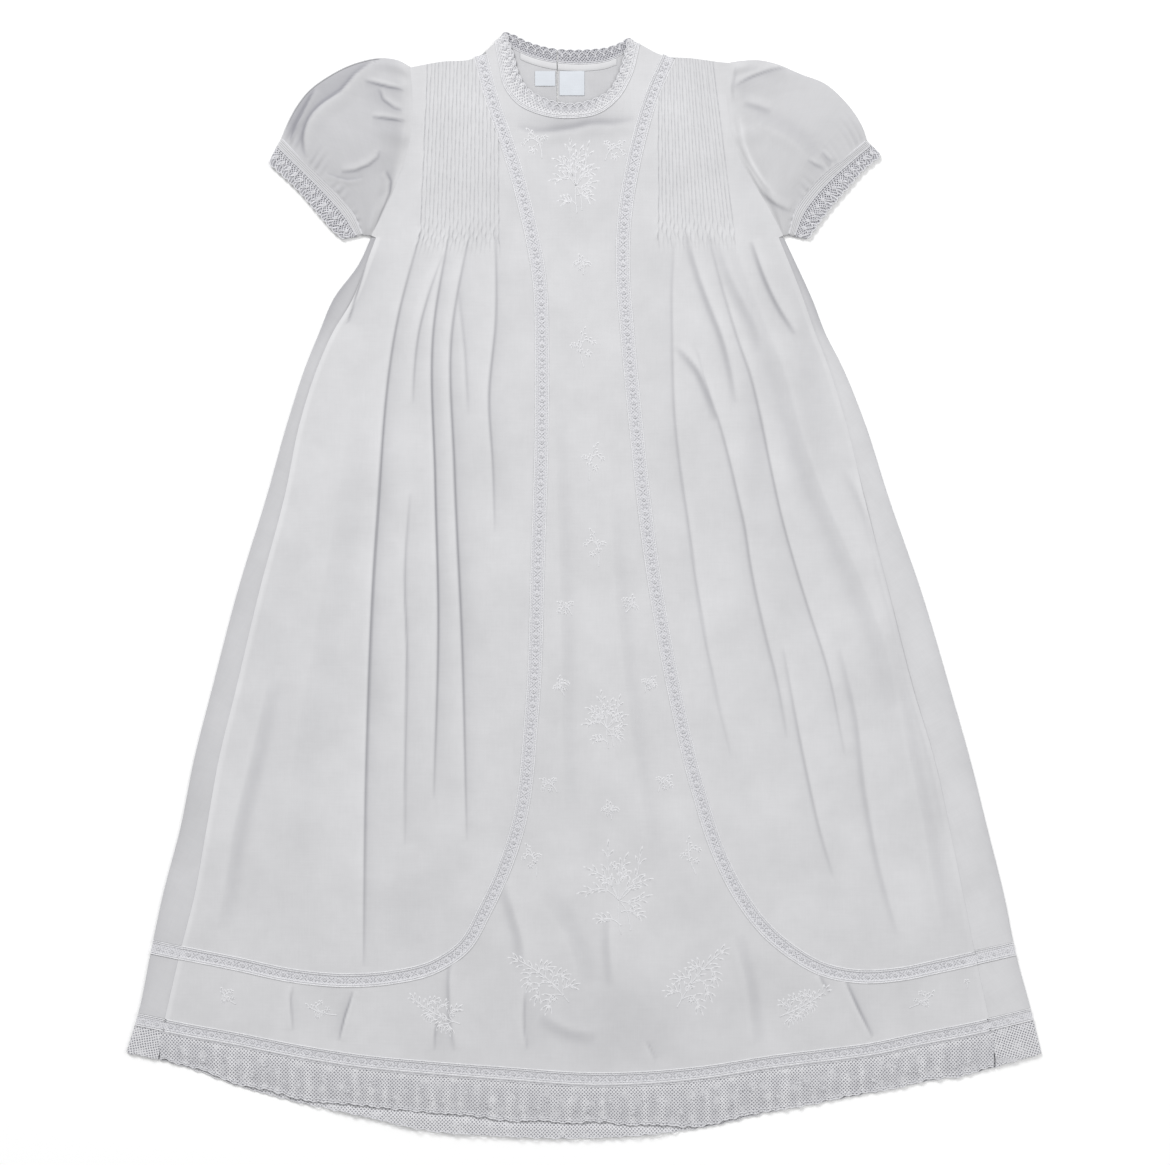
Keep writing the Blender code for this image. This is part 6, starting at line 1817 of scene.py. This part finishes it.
def make_embroidery():
    """White satin-stitch sprays, raised 0.2 mm on the cloth: stems, leaves and flowers."""
    on_cloth = lambda flat: FRONT_TOP + folded(flat, CENTRE_FOLDS)[0] + 0.6 * rumple(*flat.T)
    tubes, parts = [], []
    for spray in SPRAYS:
        stems, leaves, blooms = spray_parts(spray.kind)
        scale = np.array([spray.wide, spray.tall])
        cos, sin = math.cos(spray.turn), math.sin(spray.turn)
        flip = -1.0 if int(abs(spray.x)) % 2 else 1.0

        def put(points):
            points = np.array(points, float) * (flip, 1.0) * scale
            x = spray.x + points[:, 0] * cos - points[:, 1] * sin
            y = spray.y + points[:, 0] * sin + points[:, 1] * cos
            return np.column_stack([x, y])

        for one in stems:
            flat = put(one)
            tubes.append(tube_along(flat, 0.42, on_cloth(flat) - 0.12, 6))
        angle = np.array([leaf[2] for leaf in leaves])
        angle = np.where(flip < 0, math.pi - angle, angle) + spray.turn
        half = np.array([leaf[3] for leaf in leaves]) * np.clip(spray.tall / 32, 0.75, 1.3)
        flat = put([leaf[:2] for leaf in leaves]) + heading(angle) * half[:, None]
        parts.append(copied(LEAF, flat, on_cloth(flat) - 0.08, angle, half, 0.92, 0.3))
        for x, y, size in blooms:
            centre = put([(x, y)])
            reach = size * min(spray.wide, spray.tall) * 0.9 + 0.5
            turns = np.arange(5) * 2 * math.pi / 5 + spray.x
            petals = centre + reach * 0.6 * heading(turns)
            height = on_cloth(petals) - 0.08
            parts.append(copied(LEAF, petals, height, turns, reach * 0.55, reach * 0.36, 0.3))
            parts.append(copied(DOME, centre, height[:1], 0, 0.6, 0.6, 0.35))
    return [add_joined("embroidery_stems", tubes, FLOSS, "front_center"),
            add_copies("embroidery_leaves", parts, FLOSS, "front_center")]


def make_studio():
    """A white floor, a broad soft light from the left, a weak fill, and a camera overhead."""
    mesh = bpy.data.meshes.new("floor")
    corners = [(-3.0, -3.0, 0.0), (3.0, -3.0, 0.0), (3.0, 3.0, 0.0), (-3.0, 3.0, 0.0)]
    mesh.from_pydata(corners, [], [(0, 1, 2, 3)])
    floor = bpy.data.objects.new("floor", mesh)
    bpy.context.scene.collection.objects.link(floor)
    material = bpy.data.materials.new("white_paper")
    material.use_nodes = True
    shader = material.node_tree.nodes["Principled BSDF"]
    shader.inputs["Base Color"].default_value = (0.94, 0.94, 0.94, 1.0)
    shader.inputs["Roughness"].default_value = 0.95
    shader.inputs["Specular IOR Level"].default_value = 0.0
    mesh.materials.append(material)
    floor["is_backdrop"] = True

    for name, place, size, power in (
        ("key", (-1.1, 2.1, 2.0), 1.2, 62.0),
        ("fill", (1.9, 0.6, 2.2), 2.4, 30.0),
    ):
        lamp = bpy.data.lights.new(name, "AREA")
        lamp.shape = "DISK"
        lamp.size = size
        lamp.energy = power
        thing = bpy.data.objects.new(name, lamp)
        thing.location = place
        aim = -np.array(place)
        thing.rotation_euler = (
            math.acos(-aim[2] / np.linalg.norm(aim)), 0.0, math.atan2(aim[1], aim[0]) - math.pi / 2)
        bpy.context.scene.collection.objects.link(thing)

    world = bpy.data.worlds.new("studio")
    world.use_nodes = True
    world.node_tree.nodes["Background"].inputs["Color"].default_value = (1.0, 1.0, 1.0, 1.0)
    world.node_tree.nodes["Background"].inputs["Strength"].default_value = 0.55
    bpy.context.scene.world = world

    camera = bpy.data.cameras.new("camera")
    camera.sensor_width = 36.0
    camera.lens = camera.sensor_width * CAMERA_HEIGHT / (PHOTO_WIDTH * PIXEL * MM)
    thing = bpy.data.objects.new("camera", camera)
    centre_x = (PHOTO_WIDTH / 2 - MIDDLE_PIXEL_X) * PIXEL * MM
    centre_y = (MIDDLE_PIXEL_Y - PHOTO_HEIGHT / 2) * PIXEL * MM
    thing.location = (centre_x, centre_y, CAMERA_HEIGHT)
    bpy.context.scene.collection.objects.link(thing)
    bpy.context.scene.camera = thing
    bpy.context.scene.view_settings.view_transform = "Standard"


make_back()
make_front()
make_insertions()
make_hem_lace()
make_sleeve("left", -1, LEFT_ARMHOLE, LEFT_CUFF, LEFT_SLEEVE_TOP, LEFT_SLEEVE_FOLDS)
make_cuff("left", -1, LEFT_CUFF, LEFT_CUFF_EDGE)
make_sleeve("right", 1, RIGHT_ARMHOLE, RIGHT_CUFF, RIGHT_SLEEVE_TOP, RIGHT_SLEEVE_FOLDS)
make_cuff("right", 1, RIGHT_CUFF, RIGHT_CUFF_EDGE)
make_neck()
make_studio()

low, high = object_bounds()
sizes = {"cad": [list(cad_box[0]), list(cad_box[1])], "visual": [list(low), list(high)]}
